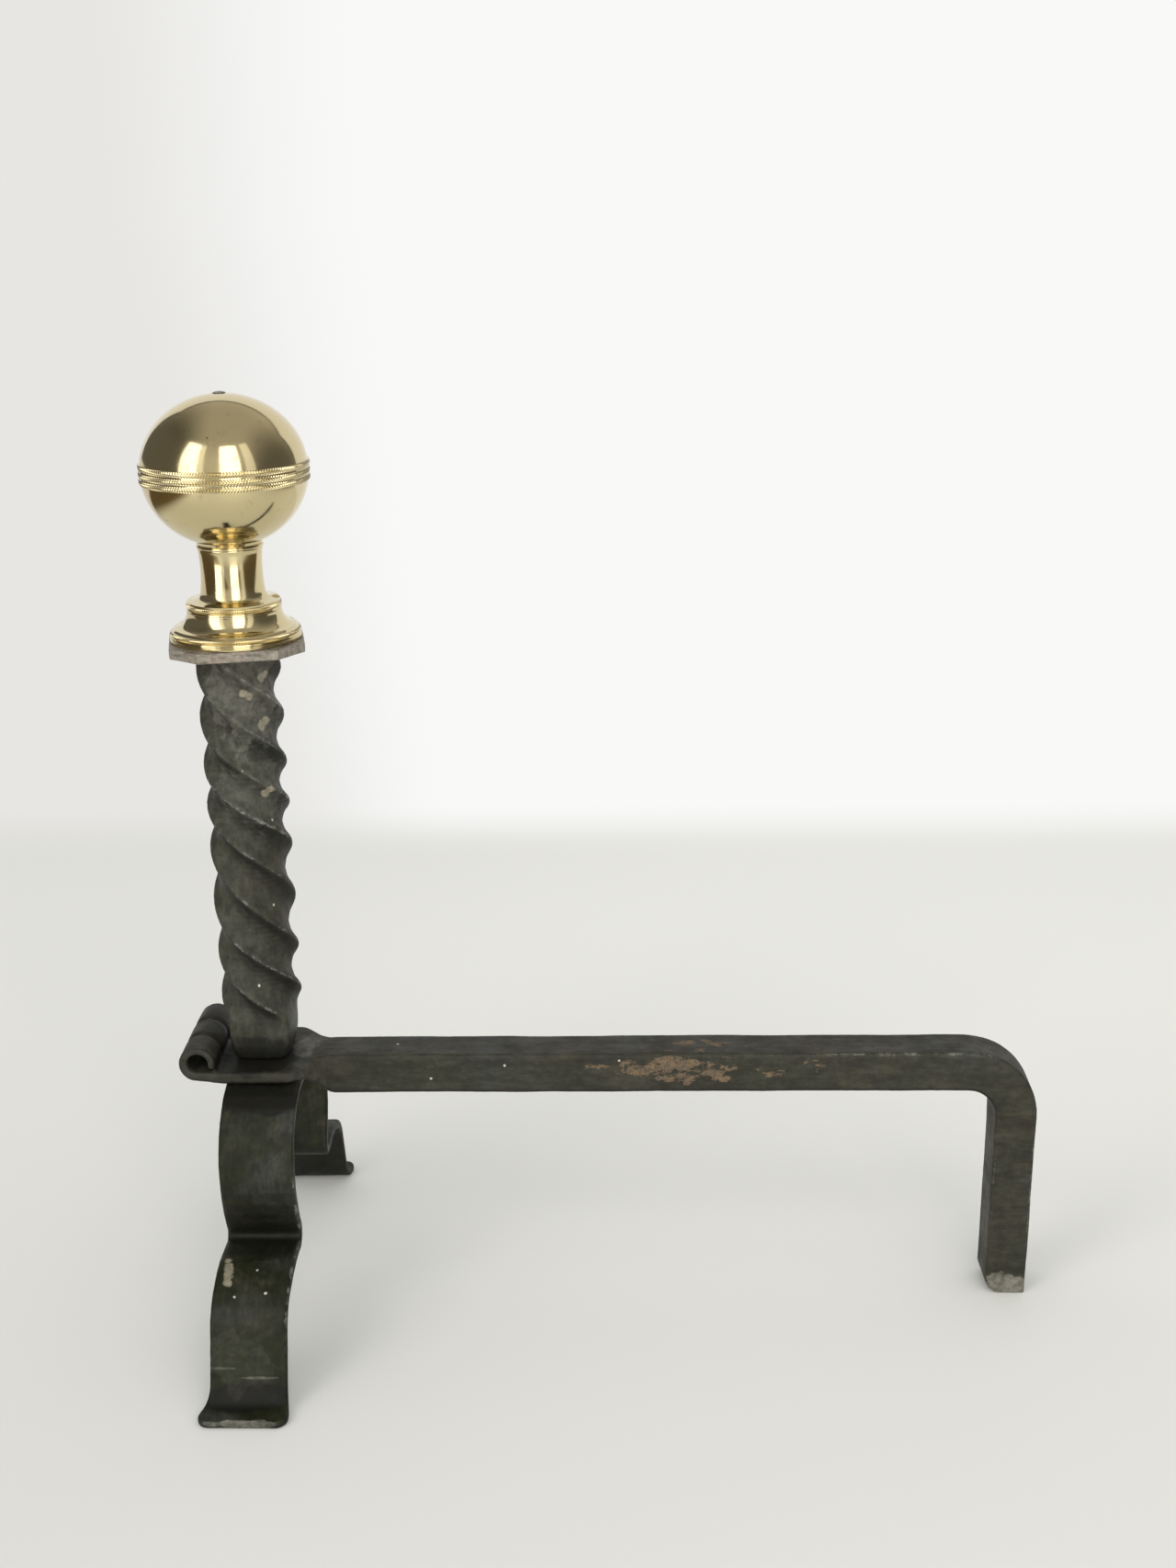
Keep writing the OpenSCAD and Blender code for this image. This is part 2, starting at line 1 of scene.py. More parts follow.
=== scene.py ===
"""Looks of a forged iron andiron with a ball finial of polished brass.

The file is laid out as an add-on: the sizes and colours that a user would change are
properties, each piece is made by its own operator, and main() runs them in order.
Lengths are in metres, or in millimetres where a name or comment says so. +Z is up, the
hearth is at z = 0, and the bar runs back along +X from the post.
"""

import math

import bpy
import numpy as np
from mathutils import Matrix, Vector


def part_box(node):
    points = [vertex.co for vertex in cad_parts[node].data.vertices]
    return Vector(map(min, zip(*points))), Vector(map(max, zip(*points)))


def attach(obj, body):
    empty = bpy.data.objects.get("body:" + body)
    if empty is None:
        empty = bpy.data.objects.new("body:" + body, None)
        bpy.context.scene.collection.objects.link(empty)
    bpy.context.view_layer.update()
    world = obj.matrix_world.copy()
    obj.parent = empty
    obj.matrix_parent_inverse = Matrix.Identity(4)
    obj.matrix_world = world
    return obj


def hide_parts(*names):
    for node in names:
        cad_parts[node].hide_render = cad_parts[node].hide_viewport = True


bl_info = {
    "name": "Forged andiron",
    "version": (1, 0, 0),
    "blender": (4, 5, 0),
    "location": "3D View > Sidebar > Andiron",
    "description": "Finishes the packed andiron in forged iron and polished brass",
    "category": "Mesh",
}

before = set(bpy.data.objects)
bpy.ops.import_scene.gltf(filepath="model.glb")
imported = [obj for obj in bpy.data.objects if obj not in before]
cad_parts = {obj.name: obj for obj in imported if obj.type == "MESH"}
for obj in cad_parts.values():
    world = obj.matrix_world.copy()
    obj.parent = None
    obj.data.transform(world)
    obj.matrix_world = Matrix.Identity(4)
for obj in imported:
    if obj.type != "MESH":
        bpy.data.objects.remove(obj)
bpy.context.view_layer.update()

MM = 0.001
BODY = "root"

# Places that the brass pieces take from the frame
AXIS_X = (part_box("ball_upper")[0].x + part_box("ball_upper")[1].x) / 2
AXIS = Vector((AXIS_X, 0, 0))
PLATE_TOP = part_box("cap_plate")[1].z
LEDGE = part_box("finial_base")[1].z
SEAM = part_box("ball_lower")[1].z
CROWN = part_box("ball_upper")[1].z
BAND_R = (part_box("ball_upper")[1].x - AXIS_X) / MM
FOOT_R = (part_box("finial_base")[1].x - AXIS_X) / MM

# Columns of points round every turned piece. A milled notch takes every third or fourth one.
COLUMNS = 540

# Sizes that two or more of the brass pieces share, in mm
SEAM_RISE = 1.65  # from the ball's centre up to the seam between its halves
ROD_HOLE_R = 4.25
BALL_WALL = 2.4
BALL_LAP = 3.0  # how far the upper half reaches down inside the lower half
GROOVE_DEPTH = 0.5  # of the grooves between the milled rows, from the widest part of a row

# Marks of age, and places of painted shade and painted light, as places in mm in the shared
# frame. Painted shade, dust, painted light, rust and rubbed edges have a centre and a half size,
# and some a strength too. The rest are centres of small drops.
# Painted shade on the pad's top round the post's foot, and inside the scroll
BAR_SHADE = (((-165, -4, 129), (27, 31, 8)), ((-189, 0, 133), (10, 30, 10), 0.5))
# A painted highlight on the pad's top beside the post, and pale dust on the rear foot
BAR_DUST_AND_LIGHT = (((-143, 2, 127), (7, 12, 3), 0.14), ((190, -10, 3), (14, 8, 9), 0.3))
BAR_LIME = ((-100.4, 1, 128), (-84.3, -10.6, 116.2), (-49.9, -10.6, 122.7), (3.2, -10.6, 124.9))
BAR_RUST = (
    ((33, -10.6, 120), (28, 6, 9), 0.21),
    ((74, -10.6, 121), (32, 6, 7), 0.12),
    ((4, -10.6, 120), (18, 5, 7), 0.13),
    ((38, -4, 127), (34, 10, 5), 0.13),
)
BAR_RUBBED = (((140, -9, 127), (55, 4, 4)), ((190, -9, 60), (12, 5, 45)))
# Painted shade under the pad, in the folds and at the ankles of the front legs
LEG_SHADE = (
    ((-160, -30, 117), (26, 17, 7)), ((-160, 30, 117), (26, 17, 7)),
    ((-160, -48, 54), (26, 15, 8), 0.7), ((-160, 48, 54), (26, 15, 8), 0.7),
    ((-161, -100.5, 8), (26, 7, 8)), ((-161, 100.5, 8), (26, 7, 8)),
)
LEG_DUST = (
    ((-163, -93, 20), (15, 8, 17), 0.03), ((-161, -111.5, 3), (19, 1.6, 3), 0.2),
    ((-156, -96, 14.6), (9, 6, 0.6), 0.16), ((-171, -95, 18.5), (7, 6, 0.6), 0.13),
)
LEG_LIME = ((-158.9, -67.7, 50.7), (-167.1, -80.4, 45.5), (-153.5, -79.1, 46.4))
LEG_DRIP = (
    (-172.9, -61.8, 51.7), (-172.5, -64.3, 51.3), (-172, -66.8, 50.8), (-171.6, -69.2, 50.2),
    (-171.2, -71.6, 49.6), (-171, -74, 48.8),
)
LEG_RUBBED = (((-161, -109, 4.5), (19, 3, 2.5)), ((-145, -70, 60), (5, 40, 50)))
# Painted shade round the post's foot, where it stands on the pad
POST_SHADE = (((-162, 0, 126), (26, 26, 21)),)
# Painted light: the post's upper part made lighter, as where light falls from above
POST_LIGHT = (((-157, -12, 303), (21, 16, 30), 0.12), ((-156, -12, 258), (17, 12, 20), 0.07))
POST_LIME = ((-160.2, -14.7, 165.5), (-159.9, -18.2, 268.8), (-150.1, -10.6, 243.6), (-151.9, -10.5, 203.3))
POST_MORTAR = (
    (-157.5, -14.4, 302.9), (-155.6, -13.8, 301.4), (-150.8, -9.6, 308.9), (-149.4, -6.8, 309.6),
    (-151.9, -11, 287.4), (-150.2, -8.2, 288.9), (-149.6, -12.4, 258.4), (-152.1, -12, 256.8),
)

# Middle of the toes along x, in mm
TOE_X = -161.2

# Two flaws of the casting on the base's disc, each with its centre, radius and push in mm
CASTING_NUB = ((-144.5, 2.6, 341.8), 2.8, (0.3, 0, 1.0))
CASTING_NICK = ((-138.7, 11.2, 330.1), 1.9, (-1.0, -0.7, -0.4))

# Sockets of the Mix node when it mixes colours
FACTOR, COLOUR_A, COLOUR_B, MIXED = 0, 6, 7, 2


def linear(hex_value):
    """An sRGB hex colour as linear red, green, blue and alpha."""
    parts = [int(hex_value[i : i + 2], 16) / 255 for i in (0, 2, 4)]
    light = [c / 12.92 if c <= 0.04045 else ((c + 0.055) / 1.055) ** 2.4 for c in parts]
    return (*light, 1.0)


def length(name, millimetres, description):
    """A length property, given in millimetres and kept in metres."""
    return bpy.props.FloatProperty(
        name=name, description=description, default=millimetres * MM, min=0, unit="LENGTH", precision=5
    )


def colour(name, hex_value, description):
    """A colour property, given as an sRGB hex value."""
    return bpy.props.FloatVectorProperty(
        name=name, description=description, default=linear(hex_value), size=4, min=0, max=1, subtype="COLOR"
    )


# ---- Properties ----


class AndironSizes(bpy.types.PropertyGroup):
    """Sizes of the surface that the frame doesn't give."""

    hammer_w: length("Hammer mark", 12, "Width of one hammer mark on the iron")
    hammer_depth: length("Hammer depth", 0.25, "Depth of a hammer mark")
    sway_w: length("Sway", 34, "Length over which a forged face sways in and out")
    sway_depth: length("Sway depth", 0.9, "How far a forged face sways")
    scale_w: length("Scale", 2.4, "Width of the pits that fire scale leaves")
    scale_depth: length("Scale depth", 0.18, "Depth of those pits")
    lobe_depth: length("Toe lobes", 0.9, "Depth of the three hammered lobes along each toe")
    ball_w: length("Ball width", 70.6, "Width of the ball, without its milled rows")
    ball_h: length("Ball height", 64.6, "Height of the ball")
    row_h: length("Row height", 2.5, "Height of one milled row round the ball")
    row_gap: length("Row gap", 0.5, "Height of the groove between two rows")
    tooth_depth: length("Tooth depth", 0.4, "Depth of the notches that mill a row")
    bead_depth: length("Bead depth", 0.3, "Depth of the notches between the base's beads")


class AndironColours(bpy.types.PropertyGroup):
    """Colours of the finishes and of the stage."""

    film_post: colour("Film, post", "38382f", "Blackened film of the post")
    film_bar: colour("Film, bar", "313027", "Blackened film of the bar")
    film_strip: colour("Film, strip", "1b1e0d", "Blackened film of the front legs")
    film_blue: colour("Blue film", "3a3c39", "Film where the iron's own grey shows")
    film_brown: colour("Brown film", "38342a", "Film warmed by thin rust")
    # Painted shade: darkens undersides, hollows, creases and the listed places of painted shade
    soot_and_shade: colour("Soot", "0e0d09", "Hollows, undersides and grime")
    worn: colour("Worn iron", "70706a", "Ridges rubbed bright")
    rust: colour("Rust", "685a4d", "Old dry rust")
    rust_ochre: colour("Ochre rust", "78654c", "Rust where it is thickest")
    # Also lightens the dust, and paints light on the post's upper part and the pad's top
    lime: colour("Lime", "b4b0a2", "Specks and drips of old limewash")
    mortar: colour("Mortar", "9d957f", "Smears of old mortar")
    bare_iron: colour("Bare iron", "858074", "Plate rubbed bare of its film")
    bare_pink: colour("Plate bloom", "8b8073", "Warm bloom on the bare plate")
    brass: colour("Brass", "d1c298", "Polished old brass")
    brass_brown: colour("Brass brown", "5d4c2b", "Brown tarnish where polish doesn't reach")
    floor: colour("Floor", "e6e6e1", "Pale floor")
    backdrop: colour("Backdrop", "f9f9f8", "Pale wall behind the floor")
    room: colour("Room", "fffaf0", "Tint of the room that the brass mirrors")
    room_floor: colour("Room floor", "6b5a3c", "Floor of the room, that only the brass mirrors")
    backdrop_left: colour("Backdrop, left", "e7e6e3", "The wall's shaded left side")


# ---- Small tools ----


def only(piece):
    """Selects that object alone and makes it the active one."""
    bpy.ops.object.select_all(action="DESELECT")
    piece.select_set(True)
    bpy.context.view_layer.objects.active = piece


def apply_modifier(piece, kind, **settings):
    """Adds a modifier with its settings and applies it."""
    modifier = piece.modifiers.new(kind.title(), kind)
    for key, value in settings.items():
        setattr(modifier, key, value)
    only(piece)
    bpy.ops.object.modifier_apply(modifier=modifier.name)


def points(piece):
    """The piece's points as an array of x, y, z rows."""
    at = np.empty(len(piece.data.vertices) * 3)
    piece.data.vertices.foreach_get("co", at)
    return at.reshape(-1, 3)


def put_points(piece, at):
    """Moves the piece's points to those rows."""
    piece.data.vertices.foreach_set("co", at.ravel())
    piece.data.update()


def pick(piece, chosen):
    """Opens the piece for editing with only the chosen points selected."""
    only(piece)
    bpy.ops.object.mode_set(mode="EDIT")
    bpy.ops.mesh.select_mode(type="VERT")
    bpy.ops.mesh.select_all(action="DESELECT")
    bpy.ops.object.mode_set(mode="OBJECT")
    piece.data.vertices.foreach_set("select", chosen)
    bpy.ops.object.mode_set(mode="EDIT")


def keep_inside(piece, node):
    """Holds the piece inside its CAD node's box, so feet stay on the hearth."""
    low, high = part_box(node)
    put_points(piece, np.clip(points(piece), low, high))


def mark_relief(piece, fine, broad):
    """Writes how far each point stands out of its smoothed surroundings, in mm.

    "edge" compares it with its near surroundings, and "ridge" with wider ones. Both come out
    above zero on edges and below it in hollows, and the materials wear and darken by them.
    fine and broad are the numbers of smoothing passes that each of the two is taken after.
    """
    mesh = piece.data
    at = points(piece)
    count = len(at)
    ends = np.empty(len(mesh.edges) * 2, dtype=np.int64)
    mesh.edges.foreach_get("vertices", ends)
    first, second = ends[::2], ends[1::2]
    neighbours = np.bincount(ends, minlength=count)
    normals = np.empty(count * 3)
    mesh.vertex_normals.foreach_get("vector", normals)
    normals = normals.reshape(-1, 3)
    smooth = at.copy()
    for step in range(1, broad + 1):
        for axis in range(3):
            along = smooth[:, axis]
            total = np.bincount(first, along[second], count) + np.bincount(second, along[first], count)
            smooth[:, axis] = (along + total / neighbours) / 2
        if step in (fine, broad):
            out = ((at - smooth) * normals).sum(axis=1) / MM
            name = "ridge" if step == broad else "edge"
            mesh.attributes.new(name, "FLOAT", "POINT").data.foreach_set("value", out.astype(np.float32))


def nudge(piece, centre, radius, push):
    """Pushes the points round a place by a vector, most in its middle. All is in mm."""
    at = points(piece)
    away = np.linalg.norm(at / MM - np.array(centre), axis=1) / radius
    share = np.clip(1 - away**2, 0, 1) ** 2
    put_points(piece, at + share[:, None] * np.array(push) * MM)


def finish_piece(piece, node, material, fine, broad, sharp_angle):
    """Marks the relief, sets the shading and material, and ties the piece to the frame."""
    keep_inside(piece, node)
    mark_relief(piece, fine, broad)
    only(piece)
    bpy.ops.object.shade_smooth_by_angle(angle=math.radians(sharp_angle))
    piece.data.materials.clear()
    piece.data.materials.append(material)
    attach(piece, BODY)
    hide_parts(node)


# ---- Forged pieces ----


def hammered(piece, kind, width, depth, **settings):
    """Presses a procedural pattern of that width half into the piece and half out of it."""
    pattern = bpy.data.textures.new(f"{piece.name}_{kind.lower()}", kind)
    pattern.noise_scale = width
    for key, value in settings.items():
        setattr(pattern, key, value)
    apply_modifier(
        piece, "DISPLACE", texture=pattern, texture_coords="LOCAL", strength=depth, mid_level=0.5
    )


def forged(name, node, grid, smooth_passes):
    """A copy of a CAD node's mesh on an even grid of points, with its edges eased."""
    piece = bpy.data.objects.new(name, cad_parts[node].data.copy())
    bpy.context.scene.collection.objects.link(piece)
    pick(piece, np.ones(len(piece.data.vertices), dtype=bool))
    bpy.ops.mesh.remove_doubles(threshold=0.001 * MM)
    bpy.ops.object.mode_set(mode="OBJECT")
    apply_modifier(piece, "REMESH", mode="VOXEL", voxel_size=grid)
    apply_modifier(piece, "SMOOTH", factor=0.5, iterations=smooth_passes)
    return piece


def work_surface(piece, share=1.0):
    """Sways, hammer marks and scale pits, at a share of their usual depth."""
    sizes = bpy.context.scene.andiron_sizes
    hammered(piece, "CLOUDS", sizes.sway_w, share * sizes.sway_depth, noise_depth=1)
    hammered(piece, "VORONOI", sizes.hammer_w, share * sizes.hammer_depth)
    hammered(piece, "CLOUDS", sizes.scale_w, share * sizes.scale_depth, noise_depth=2)


def lobe_toes(piece):
    """Hammers the top of each toe down in three lobes, deepest along its tip."""
    depth = bpy.context.scene.andiron_sizes.lobe_depth
    tip_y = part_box("front_legs")[1].y
    toe_top, reach, half_w = 2.2 * MM, 7 * MM, 18 * MM
    middle = TOE_X * MM
    at = points(piece)
    inward = np.clip((tip_y - np.abs(at[:, 1])) / reach, 0, 1)
    across = np.clip((at[:, 0] - middle) / half_w, -1, 1)
    lobes = np.abs(np.sin(1.5 * math.pi * (across + 1)))
    upper = np.clip((at[:, 2] - toe_top) / toe_top, 0, 1)
    near_toe = at[:, 2] < 3 * toe_top
    at[:, 2] -= near_toe * upper * depth * lobes * (1 - inward) ** 2
    put_points(piece, at)


# ---- Turned pieces ----


def arc(x, z, radius, start, end, steps):
    """Points of an arc between two angles in degrees, both ends included."""
    turns = [math.radians(start + (end - start) * i / steps) for i in range(steps + 1)]
    return [(x + radius * math.cos(a), z + radius * math.sin(a)) for a in turns]


def curve(p, q, r, s, steps):
    """Points of a cubic curve after its first point."""
    made = []
    for i in range(1, steps + 1):
        t = i / steps
        u = 1 - t
        weights = (u**3, 3 * u * u * t, 3 * u * t * t, t**3)
        made.append(tuple(sum(w * e[k] for w, e in zip(weights, (p, q, r, s))) for k in (0, 1)))
    return made


def turned(name, outline, base_z):
    """A ring of metal turned about the post's centre line from its closed half section.

    The outline has (radius, height) points in mm above base_z.
    """
    r, z = outline[0]
    bpy.ops.object.select_all(action="DESELECT")
    bpy.ops.mesh.primitive_plane_add(size=MM, location=(AXIS_X + r * MM, 0, base_z + z * MM))
    piece = bpy.context.object
    piece.name = piece.data.name = name
    bpy.ops.object.mode_set(mode="EDIT")
    bpy.ops.mesh.select_mode(type="VERT")
    bpy.ops.mesh.merge(type="CENTER")
    for next_r, next_z in outline[1:] + outline[:1]:
        step = ((next_r - r) * MM, 0, (next_z - z) * MM)
        bpy.ops.mesh.extrude_region_move(TRANSFORM_OT_translate={"value": step})
        r, z = next_r, next_z
    bpy.ops.mesh.select_all(action="SELECT")
    bpy.ops.mesh.spin(steps=COLUMNS, angle=math.tau, center=AXIS, axis=(0, 0, 1), use_auto_merge=True)
    bpy.ops.mesh.select_all(action="SELECT")
    bpy.ops.mesh.remove_doubles(threshold=0.001 * MM)
    bpy.ops.mesh.normals_make_consistent(inside=False)
    bpy.ops.object.mode_set(mode="OBJECT")
    bpy.ops.object.transform_apply(location=True, rotation=True, scale=True)
    return piece


def mill(piece, low, high, least_r, pitch, depth, slant=0):
    """Notches every pitch columns, on the points between two heights outside a radius.

    A notch leans over by slant columns on its way up.
    """
    at = points(piece)
    across = at[:, :2] - np.array(AXIS[:2])
    radius = np.hypot(across[:, 0], across[:, 1])
    lean = np.rint(slant * (at[:, 2] - low) / (high - low)).astype(int)
    column = np.rint(np.arctan2(across[:, 1], across[:, 0]) / math.tau * COLUMNS).astype(int)
    height_fits = (at[:, 2] > low) & (at[:, 2] < high)
    chosen = height_fits & (radius > least_r) & ((column + lean) % pitch == 0)
    pick(piece, chosen)
    share = 1 - depth / radius[chosen].mean()
    middle = (*AXIS[:2], (low + high) / 2)
    bpy.ops.transform.resize(value=(share, share, 1), center_override=middle)
    bpy.ops.object.mode_set(mode="OBJECT")


def base_section():
    """Half section of the hollow base, in mm above the plate."""
    fillet, cove_r, step, bead_r, edge_r = 1.0, 0.5, 0.2, 0.95, 0.3
    disc_r, disc_top, disc_bead_r = 20.4, 17.3, 1.0
    neck_r, ledge_r, ledge_round, wall = 13.2, 14.3, 0.7, 2.6
    top = (LEDGE - PLATE_TOP) / MM
    rim_top = 2 * fillet + 2 * cove_r - step
    bell_low = (FOOT_R - 1.6, rim_top + 2 * bead_r)
    bell_bend = (bell_low[0] - 0.9, bell_low[1] + 1.1)
    bell_top = (disc_r - 0.1, disc_top - 2 * disc_bead_r - 2.3)
    bell_in, bell_out = (bell_low[0], bell_low[1] + 0.6), (bell_bend[0] + 0.5, bell_bend[1] - 0.3)
    bell_knee = ((bell_bend[0] + bell_top[0]) / 2, bell_bend[1])
    disc_edge = (disc_r - 0.6, disc_top - 0.2)
    neck_low = (neck_r + 0.6, disc_top + 4)
    neck_top = (neck_r + 0.5, top - 2.4)
    waist_low = (neck_r - 0.3, disc_top + 0.45 * (top - disc_top))
    waist_high = (neck_r, disc_top + 0.7 * (top - disc_top))
    bore = neck_r - wall
    foot_bore = FOOT_R - wall - 1
    spigot_r, spigot_floor = 9.85, top - 5.25
    web = spigot_floor - wall
    return [
        (foot_bore, 0), (FOOT_R - 0.25, 0), *arc(FOOT_R - edge_r, edge_r, edge_r, -60, 0, 3),
        (FOOT_R, fillet),
        *arc(FOOT_R, fillet + cove_r, cove_r, 270, 90, 6),
        (FOOT_R - step, fillet + 2 * cove_r), (FOOT_R - step, rim_top - 0.2),
        (FOOT_R - step - 0.2, rim_top),
        *arc(FOOT_R - 2 * step - bead_r, rim_top + bead_r, bead_r, -60, 90, 8),
        *curve(bell_low, bell_in, bell_out, bell_bend, 4),
        *curve(bell_bend, bell_knee, (bell_top[0], bell_top[1] - 3.5), bell_top, 18),
        (disc_r - 0.15, bell_top[1] + 0.1), (disc_r, bell_top[1] + 0.3), (disc_r, bell_top[1] + 1.0),
        *arc(disc_r - disc_bead_r, disc_top - disc_bead_r - 1, disc_bead_r, -60, 75, 8),
        disc_edge,
        *curve(disc_edge, (neck_r + 2, disc_top + 0.2), (neck_r + 0.9, disc_top + 1), neck_low, 12),
        *curve(neck_low, waist_low, waist_high, neck_top, 12),
        (neck_top[0] + 0.3, neck_top[1] + 0.8),
        *arc(ledge_r - ledge_round, top - ledge_round, ledge_round, -60, 90, 6),
        (spigot_r, top), (spigot_r, spigot_floor), (ROD_HOLE_R, spigot_floor), (ROD_HOLE_R, web),
        (bore, web),
        *curve((bore, web), (bore, disc_top + 2), (bore, disc_top), (bore, disc_top - 2), 3),
        *curve((bore, disc_top - 2), (bore + 2, disc_top - 8), (foot_bore - 5, 4), (foot_bore, 3), 6),
    ]


def ball_skin(start, end, wall, steps):
    """Points of the ball's skin between two heights from its centre, in mm."""
    sizes = bpy.context.scene.andiron_sizes
    a = sizes.ball_w / MM / 2 - wall
    b = sizes.ball_h / MM / 2 - wall
    first, last = (math.asin(max(-1, min(1, h / b))) for h in (start, end))
    turns = [first + (last - first) * i / steps for i in range(steps + 1)]
    return [(a * math.cos(t), b * math.sin(t)) for t in turns]


def row_section(low, row_h):
    """Outline of one milled row in mm, from its lower edge to its upper edge."""
    sag, steps = 0.35, 4
    shares = [i / steps for i in range(-steps, steps + 1)]
    return [(BAND_R - sag * t * t, low + row_h / 2 * (1 + t)) for t in shares]


def band_heights():
    """Half height of the milled band, of one row and of a groove, in mm."""
    sizes = bpy.context.scene.andiron_sizes
    row_h = sizes.row_h / MM
    gap = sizes.row_gap / MM
    return 1.5 * row_h + gap, row_h, gap


def ball_centre():
    """Height of the ball's centre, a little below the seam between its halves."""
    return SEAM - SEAM_RISE * MM


def lower_ball_section():
    """Half section of the ball's lower half, in mm from the ball's centre."""
    half, row_h, gap = band_heights()
    groove_r = BAND_R - GROOVE_DEPTH
    ledge = (LEDGE - ball_centre()) / MM
    seam = (SEAM - ball_centre()) / MM
    collar_r, ledge_r, spigot_r, spigot_len = 14.8, 14.3, 9.6, 5.0
    skin_low = -collar_height(collar_r)
    inside = ball_skin(seam - BALL_LAP, -collar_height(ROD_HOLE_R, BALL_WALL), BALL_WALL, 16)
    socket_r = inside[0][0] + 1.2
    return [
        (ROD_HOLE_R, ledge - spigot_len), (spigot_r, ledge - spigot_len), (spigot_r, ledge),
        (ledge_r - 0.5, ledge), (collar_r, skin_low),
        *ball_skin(skin_low, -half, 0, 28)[1:],
        *row_section(-half, row_h),
        (groove_r, -half + row_h + gap / 2),
        *row_section(-row_h / 2, row_h),
        (groove_r, seam), (socket_r, seam), (socket_r, seam - BALL_LAP),
        *inside,
    ]


def collar_height(radius, wall=0.0):
    """Height of the ball's skin at a radius, in mm from its centre."""
    sizes = bpy.context.scene.andiron_sizes
    a = sizes.ball_w / MM / 2 - wall
    b = sizes.ball_h / MM / 2 - wall
    return b * math.sqrt(1 - (radius / a) ** 2)


def upper_ball_section():
    """Half section of the ball's upper half, in mm from the ball's centre."""
    half, row_h, _ = band_heights()
    groove_r = BAND_R - GROOVE_DEPTH
    seam = (SEAM - ball_centre()) / MM
    crown = (CROWN - ball_centre()) / MM
    rod_tip_r = 2.25
    inside = ball_skin(collar_height(rod_tip_r, BALL_WALL), seam - BALL_LAP, BALL_WALL, 16)
    inner_r = inside[-1][0]
    lap_r = inner_r + 1.15
    return [
        (inner_r, seam - BALL_LAP), (lap_r, seam - BALL_LAP), (lap_r, seam), (groove_r, seam),
        *row_section(half - row_h, row_h),
        *ball_skin(half, crown, 0, 36),
        (rod_tip_r, crown),
        *inside[:-1],
    ]


# ---- Nodes ----


def every(millimetres):
    """Scale of a pattern that repeats about every so many millimetres."""
    return 1 / (millimetres * MM)


def node(tree, kind, inputs=None, **settings):
    """Adds a node with its settings, and with its inputs set or linked."""
    made = tree.nodes.new(kind)
    for key, value in settings.items():
        setattr(made, key, value)
    for key, value in (inputs or {}).items():
        if isinstance(value, bpy.types.NodeSocket):
            tree.links.new(value, made.inputs[key])
        else:
            made.inputs[key].default_value = value
    return made


def calc(tree, operation, *values):
    """One step of arithmetic."""
    return node(tree, "ShaderNodeMath", dict(enumerate(values)), operation=operation).outputs[0]


def spread(tree, value, low, high, start=0.0, end=1.0):
    """Goes smoothly from start to end as a value goes from low to high."""
    inputs = {"Value": value, "From Min": low, "From Max": high, "To Min": start, "To Max": end}
    return node(tree, "ShaderNodeMapRange", inputs, interpolation_type="SMOOTHSTEP").outputs[0]


def noise(tree, place, size, detail=4.0, rough=0.5, twist=0.0):
    """Cloudy values round 0.5, with clouds about that many mm wide."""
    inputs = {"Vector": place, "Scale": every(size), "Detail": detail, "Roughness": rough}
    inputs["Distortion"] = twist
    return node(tree, "ShaderNodeTexNoise", inputs).outputs["Fac"]


def streaks(tree, place, sizes, detail=5.0, rough=0.65):
    """Cloudy values drawn out to those lengths in mm along x, y and z."""
    drawn = node(tree, "ShaderNodeMapping", {"Vector": place, "Scale": [every(size) for size in sizes]})
    inputs = {"Vector": drawn.outputs[0], "Scale": 1, "Detail": detail, "Roughness": rough}
    return node(tree, "ShaderNodeTexNoise", inputs).outputs["Fac"]


def blend(tree, share, below, above, kind="MIX"):
    """A colour laid over another at a share."""
    inputs = {FACTOR: share, COLOUR_A: below, COLOUR_B: above}
    return node(tree, "ShaderNodeMix", inputs, data_type="RGBA", blend_type=kind).outputs[MIXED]


def spot(tree, place, centre, half_size, ragged=0.8, grain=4.0):
    """1 inside an ellipsoid with that centre and half size in mm, and 0 outside its ragged edge."""
    scale = [every(size) for size in half_size]
    shift = [-at * MM * by for at, by in zip(centre, scale)]
    local = node(tree, "ShaderNodeMapping", {"Vector": place, "Scale": scale, "Location": shift})
    away = node(tree, "ShaderNodeVectorMath", {0: local.outputs[0]}, operation="LENGTH").outputs["Value"]
    rough = calc(tree, "MULTIPLY_ADD", noise(tree, place, grain, 6, 0.65), ragged, -ragged / 2)
    return spread(tree, calc(tree, "ADD", away, rough), 1.0, 0.7)


def spots(tree, place, places, ragged=0.8, grain=4.0):
    """The union of several spots. Each has its centre and half size, and may have a strength."""
    whole = 0.0
    for centre, half_size, *strength in places:
        here = spot(tree, place, centre, half_size, ragged, grain)
        here = calc(tree, "MULTIPLY", here, *(strength or (1.0,)))
        whole = calc(tree, "MAXIMUM", whole, here)
    return whole


def drops(tree, place, centres, radius):
    """1 on ragged drops of that radius in mm at those places."""
    nearest = 1.0
    for centre in centres:
        inputs = {0: place, 1: [at * MM for at in centre]}
        away = node(tree, "ShaderNodeVectorMath", inputs, operation="DISTANCE").outputs["Value"]
        nearest = calc(tree, "MINIMUM", nearest, away)
    ragged = calc(tree, "SUBTRACT", noise(tree, place, 3 * radius, 6, 0.6), 0.5)
    nearest = calc(tree, "MULTIPLY_ADD", ragged, 2 * radius * MM, nearest)
    return spread(tree, nearest, 1.1 * radius * MM, 0.6 * radius * MM)


